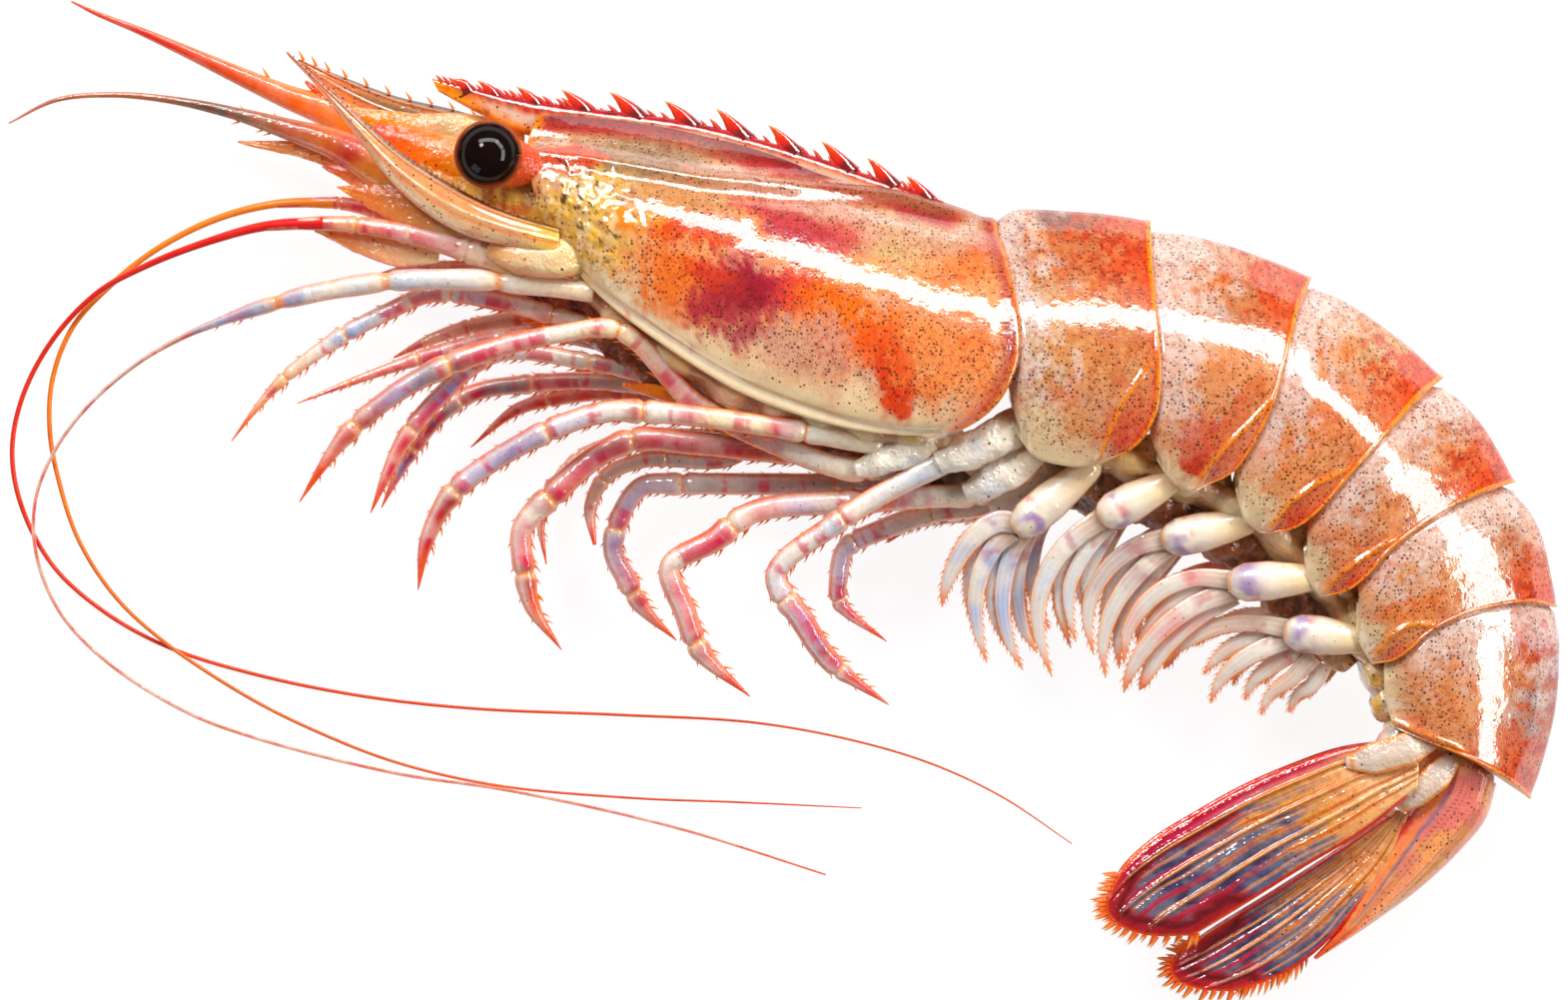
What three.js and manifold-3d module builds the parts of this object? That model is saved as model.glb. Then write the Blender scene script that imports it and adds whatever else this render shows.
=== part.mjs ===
// A whole raw shrimp lying on its right flank, with its left flank up.
// Millimetres, +Z up. The head points to -X, the back to +Y, and the tail curls down to -Y.
// The plates of the shell are patches spanned between four outlines: a front and a rear line that run
// from the back to the lower edge, and the back and lower lines that join them.

import * as THREE from "three";
import { mergeVertices } from "three/addons/utils/BufferGeometryUtils.js";
import Module from "manifold-3d";

const wasm = await Module();
wasm.setup();

// ---------------------------------------------------------------- driving dimensions

const headHalfWidth = 9.9; // half the greatest width of the carapace
const tailHalfWidth = 6.3; // half the width of the last abdominal segment
const restDepth = 0.35; // how deep the round flank is flattened where it lies on the table
const seam = 0.35; // space between neighbouring shell plates
const lip = 1.0; // thickness of the free lower edge of a plate
const eyeRadius = 3.2;
const crestThickness = 1.1;
const bellyDrawIn = 0.24; // how far the flank draws in towards its lower edge, as a share of the half width
const headPlane = headHalfWidth - restDepth; // height of the head's plane of symmetry
const tailPlane = tailHalfWidth - restDepth;

const colours = {
  shell: 0xe8a58a,
  flesh: 0xf2dfbd,
  limb: 0xe9d3cf,
  fin: 0xa3425a,
  whip: 0xd8552f,
  eye: 0x120a08,
};
const finish = (colour, roughness) =>
  new THREE.MeshStandardMaterial({ color: colour, roughness, metalness: 0 });
const shellFinish = finish(colours.shell, 0.25);
const fleshFinish = finish(colours.flesh, 0.45);
const limbFinish = finish(colours.limb, 0.3);
const finFinish = finish(colours.fin, 0.25);
const whipFinish = finish(colours.whip, 0.35);
const eyeFinish = finish(colours.eye, 0.05);

// ---------------------------------------------------------------- shared shapes

const mix = THREE.MathUtils.lerp;

// A smooth line through a few places. at(t) runs from 0 to 1.
function line(places) {
  const points = places.map((p) => new THREE.Vector3(p[0], p[1], p[2] ?? 0));
  const curve = new THREE.CatmullRomCurve3(points, false, "centripetal");
  return (t) => curve.getPoint(t);
}

// A value that runs smoothly through a list of values. at(t) runs from 0 to 1.
function graded(values) {
  return (t) => {
    const s = Math.min(t, 0.999999) * (values.length - 1);
    const i = Math.floor(s);
    return mix(values[i], values[i + 1], s - i);
  };
}

// The patch between four outlines. u runs from front to rear and t from back to lower edge.
function patch({ front, rear, back, edge }) {
  const [f, r, b, e] = [front, rear, back, edge].map(line);
  return (u, t) => {
    const p = f(t).multiplyScalar(1 - u);
    p.addScaledVector(r(t), u);
    p.addScaledVector(b(u), 1 - t);
    p.addScaledVector(e(u), t);
    p.addScaledVector(f(0), -(1 - u) * (1 - t));
    p.addScaledVector(r(0), -u * (1 - t));
    p.addScaledVector(f(1), -(1 - u) * t);
    return p.addScaledVector(r(1), -u * t);
  };
}

function signedVolume(corners, faces) {
  return faces.reduce((sum, [a, b, c]) => {
    const cross = corners[b].clone().cross(corners[c]);
    return sum + corners[a].dot(cross) / 6;
  }, 0);
}

// Triangles that close a ring, cut in the ring's own mean plane.
function cap(ring, first) {
  const normal = new THREE.Vector3();
  ring.forEach((p, i) => normal.add(p.clone().cross(ring[(i + 1) % ring.length])));
  normal.normalize();
  const turn = new THREE.Quaternion().setFromUnitVectors(normal, new THREE.Vector3(0, 0, 1));
  const flat = ring.map((p) => p.clone().applyQuaternion(turn));
  const contour = flat.map((p) => new THREE.Vector2(p.x, p.y));
  return THREE.ShapeUtils.triangulateShape(contour, []).map((f) => f.map((i) => i + first));
}

// Triangles straight across a thin ring, between the upper half and the lower half that comes back.
function rungs(ring, first) {
  const faces = [];
  for (let i = 0; 2 * i + 2 < ring.length; i++) {
    const j = ring.length - 1 - i;
    faces.push([i, i + 1, j]);
    if (i + 2 < j) faces.push([i + 1, j - 1, j]);
  }
  return faces.map((f) => f.map((k) => k + first));
}

// A closed solid through rings of equal length. close fills the first and the last ring.
function loft(rings, close = cap) {
  const n = rings[0].length;
  const corners = rings.flat();
  const faces = [];
  for (let i = 0; i + 1 < rings.length; i++) {
    for (let j = 0; j < n; j++) {
      const [a, b] = [i * n + j, i * n + ((j + 1) % n)];
      faces.push([a, b, b + n], [a, b + n, a + n]);
    }
  }
  const last = (rings.length - 1) * n;
  const walls = faces.length;
  close(rings[0], 0).forEach(([a, b, c]) => faces.push([a, c, b]));
  close(rings.at(-1), last).forEach((f) => faces.push(f));
  // The caps turn with the rings, so both follow the walls.
  if (sharesDirection(faces, walls)) {
    for (let i = walls; i < faces.length; i++) faces[i].reverse();
  }
  if (signedVolume(corners, faces) < 0) faces.forEach((f) => f.reverse());
  const geometry = new THREE.BufferGeometry().setFromPoints(corners);
  geometry.setIndex(faces.flat());
  return geometry;
}

// Whether a cap runs along an edge the same way as the wall beside it, which means it is turned round.
function sharesDirection(faces, walls) {
  const runs = ([a, b, c]) => [[a, b], [b, c], [c, a]].map(([p, q]) => p + "-" + q);
  const used = new Set(faces.slice(0, walls).flatMap(runs));
  return faces.slice(walls).flatMap(runs).some((run) => used.has(run));
}

function solidOf(geometry) {
  const bare = geometry.clone();
  bare.deleteAttribute("normal");
  bare.deleteAttribute("uv");
  const merged = mergeVertices(bare, 1e-4);
  return new wasm.Manifold(
    new wasm.Mesh({
      numProp: 3,
      vertProperties: new Float32Array(merged.attributes.position.array),
      triVerts: new Uint32Array(merged.index.array),
    }),
  );
}

function geometryOf(solid) {
  const { vertProperties, triVerts } = solid.getMesh();
  const geometry = new THREE.BufferGeometry();
  geometry.setAttribute("position", new THREE.BufferAttribute(vertProperties, 3));
  geometry.setIndex(new THREE.BufferAttribute(triVerts, 1));
  return geometry;
}

const joined = (geometries) =>
  geometryOf(geometries.map(solidOf).reduce((whole, next) => whole.add(next)));

// The same body with a skin of one seam around it.
function grown(geometry) {
  const fat = mergeVertices(geometry.clone(), 1e-4);
  fat.computeVertexNormals();
  const { position, normal } = fat.attributes;
  for (let i = 0; i < position.count; i++) {
    const corner = new THREE.Vector3().fromBufferAttribute(position, i);
    const out = new THREE.Vector3().fromBufferAttribute(normal, i);
    corner.addScaledVector(out, seam);
    position.setXYZ(i, corner.x, corner.y, corner.z);
  }
  return solidOf(fat);
}

// Each piece is cut clear of the ones added before it, and its largest part is kept.
const shrimp = new THREE.Group();
const placed = [];
function add(name, geometry, material) {
  const clear = placed.reduce((rest, skin) => rest.subtract(skin), solidOf(geometry));
  const kept = clear.decompose().reduce((a, b) => (a.volume() > b.volume() ? a : b));
  placed.push(grown(geometry));
  const mesh = new THREE.Mesh(geometryOf(kept), material);
  mesh.name = name;
  shrimp.add(mesh);
}

// ---------------------------------------------------------------- shell plates

// How far the flank stands out at t, as a share of the half width: round over the back, fullest
// below the middle, and drawn in a little towards the lower edge.
const fullest = 0.6;
function flank(t) {
  if (t < fullest) return Math.sin((Math.PI / 2) * (t / fullest)) ** 0.85;
  return 1 - bellyDrawIn * ((t - fullest) / (1 - fullest)) ** 2;
}

// A plate wraps over the back, and its two lower edges hang as lips beside a shallow channel.
function plate({ outlines, halfWidths, plane, channel, along, across }) {
  const place = patch(outlines);
  const halfWidth = graded(halfWidths);
  const rings = [];
  for (let i = 0; i <= along; i++) {
    const u = i / along;
    const half = halfWidth(u);
    const middle = plane ?? half - restDepth;
    const at = (t, out) => place(u, t).setZ(Math.max(0, middle + out));
    const near = [];
    const far = [];
    for (let j = 1; j <= across; j++) {
      const t = j / across;
      near.push(at(t, half * flank(t)));
      far.unshift(at(t, -half * flank(t)));
    }
    const inside = half * flank(1) - lip;
    const roof = 1 - channel;
    rings.push([
      at(0, 0),
      ...near,
      at(1, inside),
      at(roof, inside - 0.4),
      at(roof, 0.4 - inside),
      at(1, -inside),
      ...far,
    ]);
  }
  return loft(rings);
}

const carapace = {
  outlines: {
    back: [[-24.5, 39.2], [-19, 38.7], [-9, 37.2], [1, 34.4], [11, 31.1], [21.3, 27.8]],
    rear: [
      [21.3, 27.8], [22.2, 24.5], [23.1, 20.5], [23.6, 16.5], [23.1, 13], [21.3, 9.6], [18, 7.1],
      [14.5, 6.3],
    ],
    edge: [[-21.2, 23.5], [-18, 20], [-14, 16.8], [-5, 11], [1, 8.6], [7, 7], [14.5, 6.3]],
    front: [[-24.5, 39.2], [-25.7, 35.5], [-25.3, 32], [-24, 28], [-21.2, 23.5]],
  },
  halfWidths: [4.6, 6.8, 8.4, 9.4, headHalfWidth, headHalfWidth, 9.5],
  plane: headPlane,
  channel: 0.13,
  along: 10,
  across: 7,
};

// The crest along the back runs forward as the rostrum. Its teeth lean forward, and they are
// largest in the middle of the back.
const crest = {
  top: [
    [-35.3, 42.2], [-30, 41.0], [-24.5, 39.9], [-19, 39.2], [-9, 37.8], [1, 35.1], [11, 31.7],
    [16, 29.9],
  ],
  underside: [
    [-34.6, 40.9], [-30, 38.4], [-25.2, 36.4], [-19, 36.6], [-9, 35.4], [1, 32.4], [11, 29.2],
    [16, 28.4],
  ],
  teeth: 10,
  toothLength: 3.4,
  toothHeight: 2.2,
};

function crestShape() {
  const top = line(crest.top);
  const underside = line(crest.underside);
  const outline = [];
  for (let i = 0; i < crest.teeth; i++) {
    const t = i / crest.teeth;
    const size = 0.62 + 0.5 * Math.sin(Math.PI * (0.12 + 0.83 * t));
    const root = top(t);
    const along = top(Math.min(1, t + 0.01)).sub(root).normalize();
    const up = new THREE.Vector3(-along.y, along.x, 0);
    const height = crest.toothHeight * size;
    const length = crest.toothLength * size;
    outline.push(root, root.clone().addScaledVector(up, height).addScaledVector(along, -0.25 * length));
    outline.push(root.clone().addScaledVector(up, 0.4 * height).addScaledVector(along, 0.4 * length));
    outline.push(root.clone().addScaledVector(along, length));
  }
  outline.push(top(1));
  for (let i = 10; i >= 0; i--) outline.push(underside(i / 10));
  return new THREE.Shape(outline.map((p) => new THREE.Vector2(p.x, p.y)));
}

function crestBlade() {
  const options = { depth: crestThickness, bevelEnabled: false, steps: 1 };
  return new THREE.ExtrudeGeometry(crestShape(), options).translate(0, 0, headPlane - crestThickness / 2);
}

add("carapace", joined([plate(carapace), crestBlade()]), shellFinish);

// The direction of a path at t, a unit long.
function aheadOn(path, t) {
  const reach = 0.01;
  return path(Math.min(1, t + reach)).sub(path(Math.max(0, t - reach))).normalize();
}

// A soft underside is a flattened roll along a path, narrower at both ends.
function underside({ path, depth, halfWidths, plane, steps = 8, sides = 8 }) {
  const halfWidth = graded(halfWidths);
  const height = graded(plane);
  const rings = [];
  for (let i = 0; i <= steps; i++) {
    const t = i / steps;
    const ahead = aheadOn(path, t);
    const down = new THREE.Vector3(ahead.y, -ahead.x, 0);
    const size = Math.sqrt(Math.sin(Math.PI * mix(0.16, 0.84, t)));
    const ring = [];
    for (let j = 0; j < sides; j++) {
      const angle = (2 * Math.PI * (j + 0.5)) / sides;
      const corner = path(t).addScaledVector(down, depth * size * Math.cos(angle));
      ring.push(corner.setZ(height(t) + halfWidth(t) * size * Math.sin(angle)));
    }
    rings.push(ring);
  }
  return loft(rings);
}

// The underside of the head carries the legs. It lies in the channel between the shell's lips.
const sternum = line([[-21, 22.6], [-14, 16.4], [-5, 10.9], [1, 8.8], [8, 6.9], [15, 5.7], [21, 4.6]]);
const thorax = {
  path: sternum,
  depth: 1.9,
  halfWidths: [3, 5.5, 6.4, 6.6, 6.4],
  plane: [headPlane, headPlane],
};
add("thorax", underside(thorax), fleshFinish);

// The six segments of the abdomen. Each rear line ends in the rounded lobe that hangs over the
// next segment, and each front line keeps a seam to the line ahead of it.
const segments = [
  {
    front: [[21.8, 28.7], [22.7, 24.5], [23.6, 20.5], [24.1, 16.5], [23.8, 12.5], [23.3, 9.5], [23.6, 6]],
    back: [[21.8, 28.7], [24, 29.1], [31, 28.7], [36.7, 27.8]],
    rear: [
      [36.7, 27.8], [36.8, 24], [37.1, 20], [37.4, 16.3], [37.6, 12.5], [37.1, 8.5], [35.2, 5.5],
      [31.3, 3.6],
    ],
    edge: [[23.6, 6], [25, 4.3], [29, 3.3], [31.3, 3.6]],
  },
  {
    front: [
      [37.2, 27.2], [37.3, 24], [37.6, 20], [37.9, 16.3], [38.1, 12.5], [37.7, 8.3], [37.5, 5.5],
      [37.8, 3],
    ],
    back: [[37.2, 27.2], [43, 25.9], [49, 23.8], [52.8, 22.1]],
    rear: [
      [52.8, 22.1], [51.5, 19.5], [50.7, 16.5], [49.8, 13], [49, 10], [46.8, 5.5], [44.8, 2.8],
      [40.5, 0.8],
    ],
    edge: [[37.8, 3], [39, 1.5], [40.5, 0.8]],
  },
  {
    front: [
      [53.2, 21.5], [52, 19.2], [51.2, 16.3], [50.3, 12.9], [49.5, 9.8], [47.4, 5.2], [45.6, 2.4],
      [45.3, 0],
    ],
    back: [[53.2, 21.5], [57.5, 19.1], [62, 15.8], [66, 12.1]],
    rear: [
      [66, 12.1], [63.5, 10.2], [61, 7.5], [59, 5.2], [56.5, 2.5], [53.5, -1], [51, -2.8],
      [47.5, -3.3],
    ],
    edge: [[45.3, 0], [46, -2], [47.5, -3.3]],
  },
  {
    front: [
      [66.3, 11.4], [63.9, 9.6], [61.5, 7], [59.5, 4.7], [57, 2], [54.2, -1.4], [52.6, -3.4], [52, -6],
    ],
    back: [[66.3, 11.4], [70, 7.5], [73.2, 1.7]],
    rear: [
      [73.2, 1.7], [70, 0.8], [66.5, -0.8], [63, -3], [60.5, -5], [58, -7.8], [56, -9.2], [53.5, -9.6],
    ],
    edge: [[52, -6], [52.4, -8], [53.5, -9.6]],
  },
  {
    front: [
      [73.4, 1], [70.2, 0.2], [66.8, -1.4], [63.4, -3.6], [61, -5.6], [58.8, -8.2], [57.4, -9.6],
      [57.2, -11.5],
    ],
    back: [[73.4, 1], [75.8, -3], [77, -8], [77.4, -10.8]],
    rear: [
      [77.4, -10.8], [75, -10.2], [71, -10.6], [67.5, -11.6], [64.5, -13.2], [62.5, -15], [61, -16],
      [58.8, -16.4],
    ],
    edge: [[57.2, -11.5], [57.4, -14], [58.8, -16.4]],
  },
  {
    front: [
      [77.6, -11.4], [75, -10.8], [71.2, -11.2], [67.8, -12.2], [65, -13.8], [63, -15.6],
      [61.4, -16.6], [60, -17.2],
    ],
    back: [[77.6, -11.4], [77.8, -15], [77.4, -21], [76, -26.5], [74.7, -30]],
    rear: [[74.7, -30], [73, -28.5], [70, -26.6], [67, -25.2], [64, -24], [61, -22.7]],
    edge: [[60, -17.2], [60.2, -20], [61, -22.7]],
  },
];

const segmentCount = segments.length;
const firstHalfWidth = headHalfWidth - 0.3;
segments.forEach((outlines, i) => {
  const halfAt = (share) => mix(firstHalfWidth, tailHalfWidth, share ** 1.2);
  const halfWidths = [halfAt(i / segmentCount), halfAt((i + 1) / segmentCount)];
  const geometry = plate({ outlines, halfWidths, channel: 0.15, along: 3, across: 7 });
  add("tergite_" + (i + 1), geometry, shellFinish);
});

// ---------------------------------------------------------------- limbs, whips and blades

// A limb is a tapering tube through places [x, y, z, radius]. flat thins it across Z.
function limb(places, { sides = 6, perSpan = 1, flat = 1 } = {}) {
  const centre = line(places);
  const radius = graded(places.map((p) => p[3]));
  const steps = (places.length - 1) * perSpan;
  const up = new THREE.Vector3(0, 0, 1);
  const rings = [];
  for (let i = 0; i <= steps; i++) {
    const t = i / steps;
    const ahead = aheadOn(centre, t);
    const aside = up.clone().cross(ahead).normalize();
    const over = ahead.clone().cross(aside);
    const ring = [];
    for (let j = 0; j < sides; j++) {
      const angle = (2 * Math.PI * (j + 0.5)) / sides;
      ring.push(
        centre(t)
          .addScaledVector(aside, radius(t) * Math.cos(angle))
          .addScaledVector(over, flat * radius(t) * Math.sin(angle)),
      );
    }
    rings.push(ring);
  }
  return loft(rings);
}

// A thin blade fills a patch, and its height runs from heights[0] at the base to heights[1] at the tip.
function blade({ outlines, heights, thickness, along = 8, across = 3 }) {
  const place = patch(outlines);
  const rings = [];
  for (let i = 0; i <= along; i++) {
    const u = i / along;
    const middle = mix(heights[0], heights[1], u);
    const half = (thickness / 2) * (1 - 0.4 * u);
    const ring = [];
    for (let j = 0; j <= across; j++) ring.push(place(u, j / across).setZ(middle + half));
    for (let j = across; j >= 0; j--) ring.push(place(u, j / across).setZ(middle - half));
    rings.push(ring);
  }
  return loft(rings, rungs);
}

// The head ahead of the carapace, and the two stalked eyes beside it.
add(
  "head",
  limb(
    [
      [-21, 29.4, headPlane, 5.2],
      [-25.4, 30.4, headPlane, 4.6],
      [-29.5, 31.6, headPlane, 3.3],
      [-34, 33.6, headPlane, 1.9],
      [-37.5, 35.2, headPlane, 0.8],
    ],
    { sides: 10, flat: 0.8 },
  ),
  fleshFinish,
);

const eyePlace = { x: -29.5, y: 34.5, aside: 6.2 };
["near", "far"].forEach((side) => {
  const z = headPlane + (side === "near" ? eyePlace.aside : -eyePlace.aside);
  const ball = new THREE.SphereGeometry(eyeRadius, 12, 9).translate(eyePlace.x, eyePlace.y, z);
  const inward = side === "near" ? -1.2 : 1.2;
  const stalk = limb([
    [eyePlace.x, eyePlace.y, z, 1.5],
    [eyePlace.x + 2.6, eyePlace.y - 2, z + 2.4 * inward, 1.3],
  ]);
  add("eye_" + side, joined([ball, stalk]), eyeFinish);
});

// The broad scales beside the antennae.
const nearScale = {
  back: [[-22.5, 27.2], [-29, 29.3], [-34, 32], [-38, 34.5], [-42, 37.8], [-46, 41.4], [-49.6, 44.8]],
  edge: [
    [-22.2, 24.4], [-27, 25.2], [-32, 26.5], [-36, 28.8], [-39.5, 32], [-42.5, 36], [-45.7, 40.2],
    [-49.8, 44.6],
  ],
};
nearScale.front = [nearScale.back[0], nearScale.edge[0]];
nearScale.rear = [nearScale.back.at(-1), nearScale.edge.at(-1)];
add("antennal_scale_near", blade({ outlines: nearScale, heights: [15, 14], thickness: 0.9 }), shellFinish);

const farScale = {
  back: [[-27, 37.4], [-33, 39.2], [-39, 40.6], [-45, 42.8], [-48.7, 44.3]],
  edge: [[-27, 33.5], [-33, 35], [-38, 36.6], [-42, 38.3], [-45.5, 40.8], [-48.9, 44.1]],
};
farScale.front = [farScale.back[0], farScale.edge[0]];
farScale.rear = [farScale.back.at(-1), farScale.edge.at(-1)];
add("antennal_scale_far", blade({ outlines: farScale, heights: [2.6, 3.4], thickness: 0.8 }), shellFinish);

// The first antennae: a stout base that runs out into one stiff, pointed whip.
add(
  "antennule_near",
  limb([
    [-31, 27.8, 10.6, 1.6],
    [-35, 29.8, 10.8, 2.3],
    [-40, 32.8, 10.8, 2.2],
    [-44.5, 35.4, 10.4, 1.6],
    [-49, 36.9, 10, 1.15],
    [-55, 38.7, 9.4, 0.65],
    [-61, 40, 8.6, 0.42],
    [-67, 40.6, 7.8, 0.3],
    [-73, 40.1, 6.8, 0.24],
    [-77.8, 37.8, 6, 0.12],
  ]),
  whipFinish,
);
add(
  "antennule_far",
  limb([
    [-33, 31.2, 5.4, 1.3],
    [-36, 33.2, 5.8, 1.7],
    [-41, 36.3, 6.2, 1.9],
    [-45.5, 38.8, 6.6, 1.6],
    [-50, 40.5, 6.8, 1.2],
    [-55, 42.7, 7, 0.9],
    [-60, 45, 7, 0.62],
    [-65, 47.2, 7, 0.4],
    [-69, 48.8, 7, 0.26],
    [-71.5, 50, 7, 0.12],
  ]),
  whipFinish,
);

// The second antennae: a jointed base, then a long whip that droops to the table and lies along it.
const whips = {
  antenna_near: [
    [-22.9, 23.4, 11.6, 1.3], [-26, 23.5, 12, 1.75], [-30, 24.6, 12.4, 1.4], [-35, 26, 12.4, 1.15],
    [-40, 27.1, 12, 0.95], [-46, 27.7, 11, 0.72], [-52, 27.4, 9.6, 0.5], [-58, 25.8, 8, 0.4],
    [-64, 23.5, 6, 0.34], [-69, 20.8, 4, 0.3], [-73.5, 16.2, 2, 0.28], [-76.6, 10.5, 0.9, 0.27],
    [-77.7, 5, 0.5, 0.26], [-76.8, -0.5, 0.4, 0.26], [-73.6, -6.6, 0.4, 0.25], [-68.5, -11.2, 0.4, 0.25],
    [-62, -14.8, 0.4, 0.24], [-53, -17.6, 0.4, 0.24], [-42, -19.8, 0.4, 0.23], [-31, -21, 0.4, 0.22],
    [-17, -21.6, 0.4, 0.22], [-3, -22.4, 0.4, 0.2], [7, -24.2, 0.4, 0.19], [15, -26.6, 0.4, 0.18],
    [22, -29.9, 0.4, 0.17], [29, -34.6, 0.4, 0.15],
  ],
  antenna_far: [
    [-31.5, 25.9, 6.8, 1], [-36, 27.8, 7, 1.2], [-40, 28.9, 7, 1], [-45, 29.8, 6.8, 0.6],
    [-51, 29.7, 6.2, 0.42], [-57, 28.2, 5.2, 0.36], [-63, 25.2, 4.2, 0.32], [-68, 21.3, 3, 0.3],
    [-71.6, 17.3, 1.9, 0.28], [-73.6, 12.2, 1.2, 0.27], [-73.9, 7, 1, 0.26], [-73, 2, 1, 0.26],
    [-71, -4, 1, 0.25], [-67.4, -9.6, 1, 0.25], [-62.6, -14.1, 1, 0.24], [-54, -19.8, 1, 0.24],
    [-47, -23.3, 1, 0.23], [-39, -26.4, 1, 0.22], [-29, -28.7, 0.9, 0.21], [-15, -30, 0.7, 0.2],
    [-5, -30.4, 0.5, 0.18], [7.8, -31, 0.4, 0.15],
  ],
};
for (const [name, places] of Object.entries(whips)) {
  add(name, limb(places, { sides: 4, perSpan: 2 }), whipFinish);
}

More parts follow.
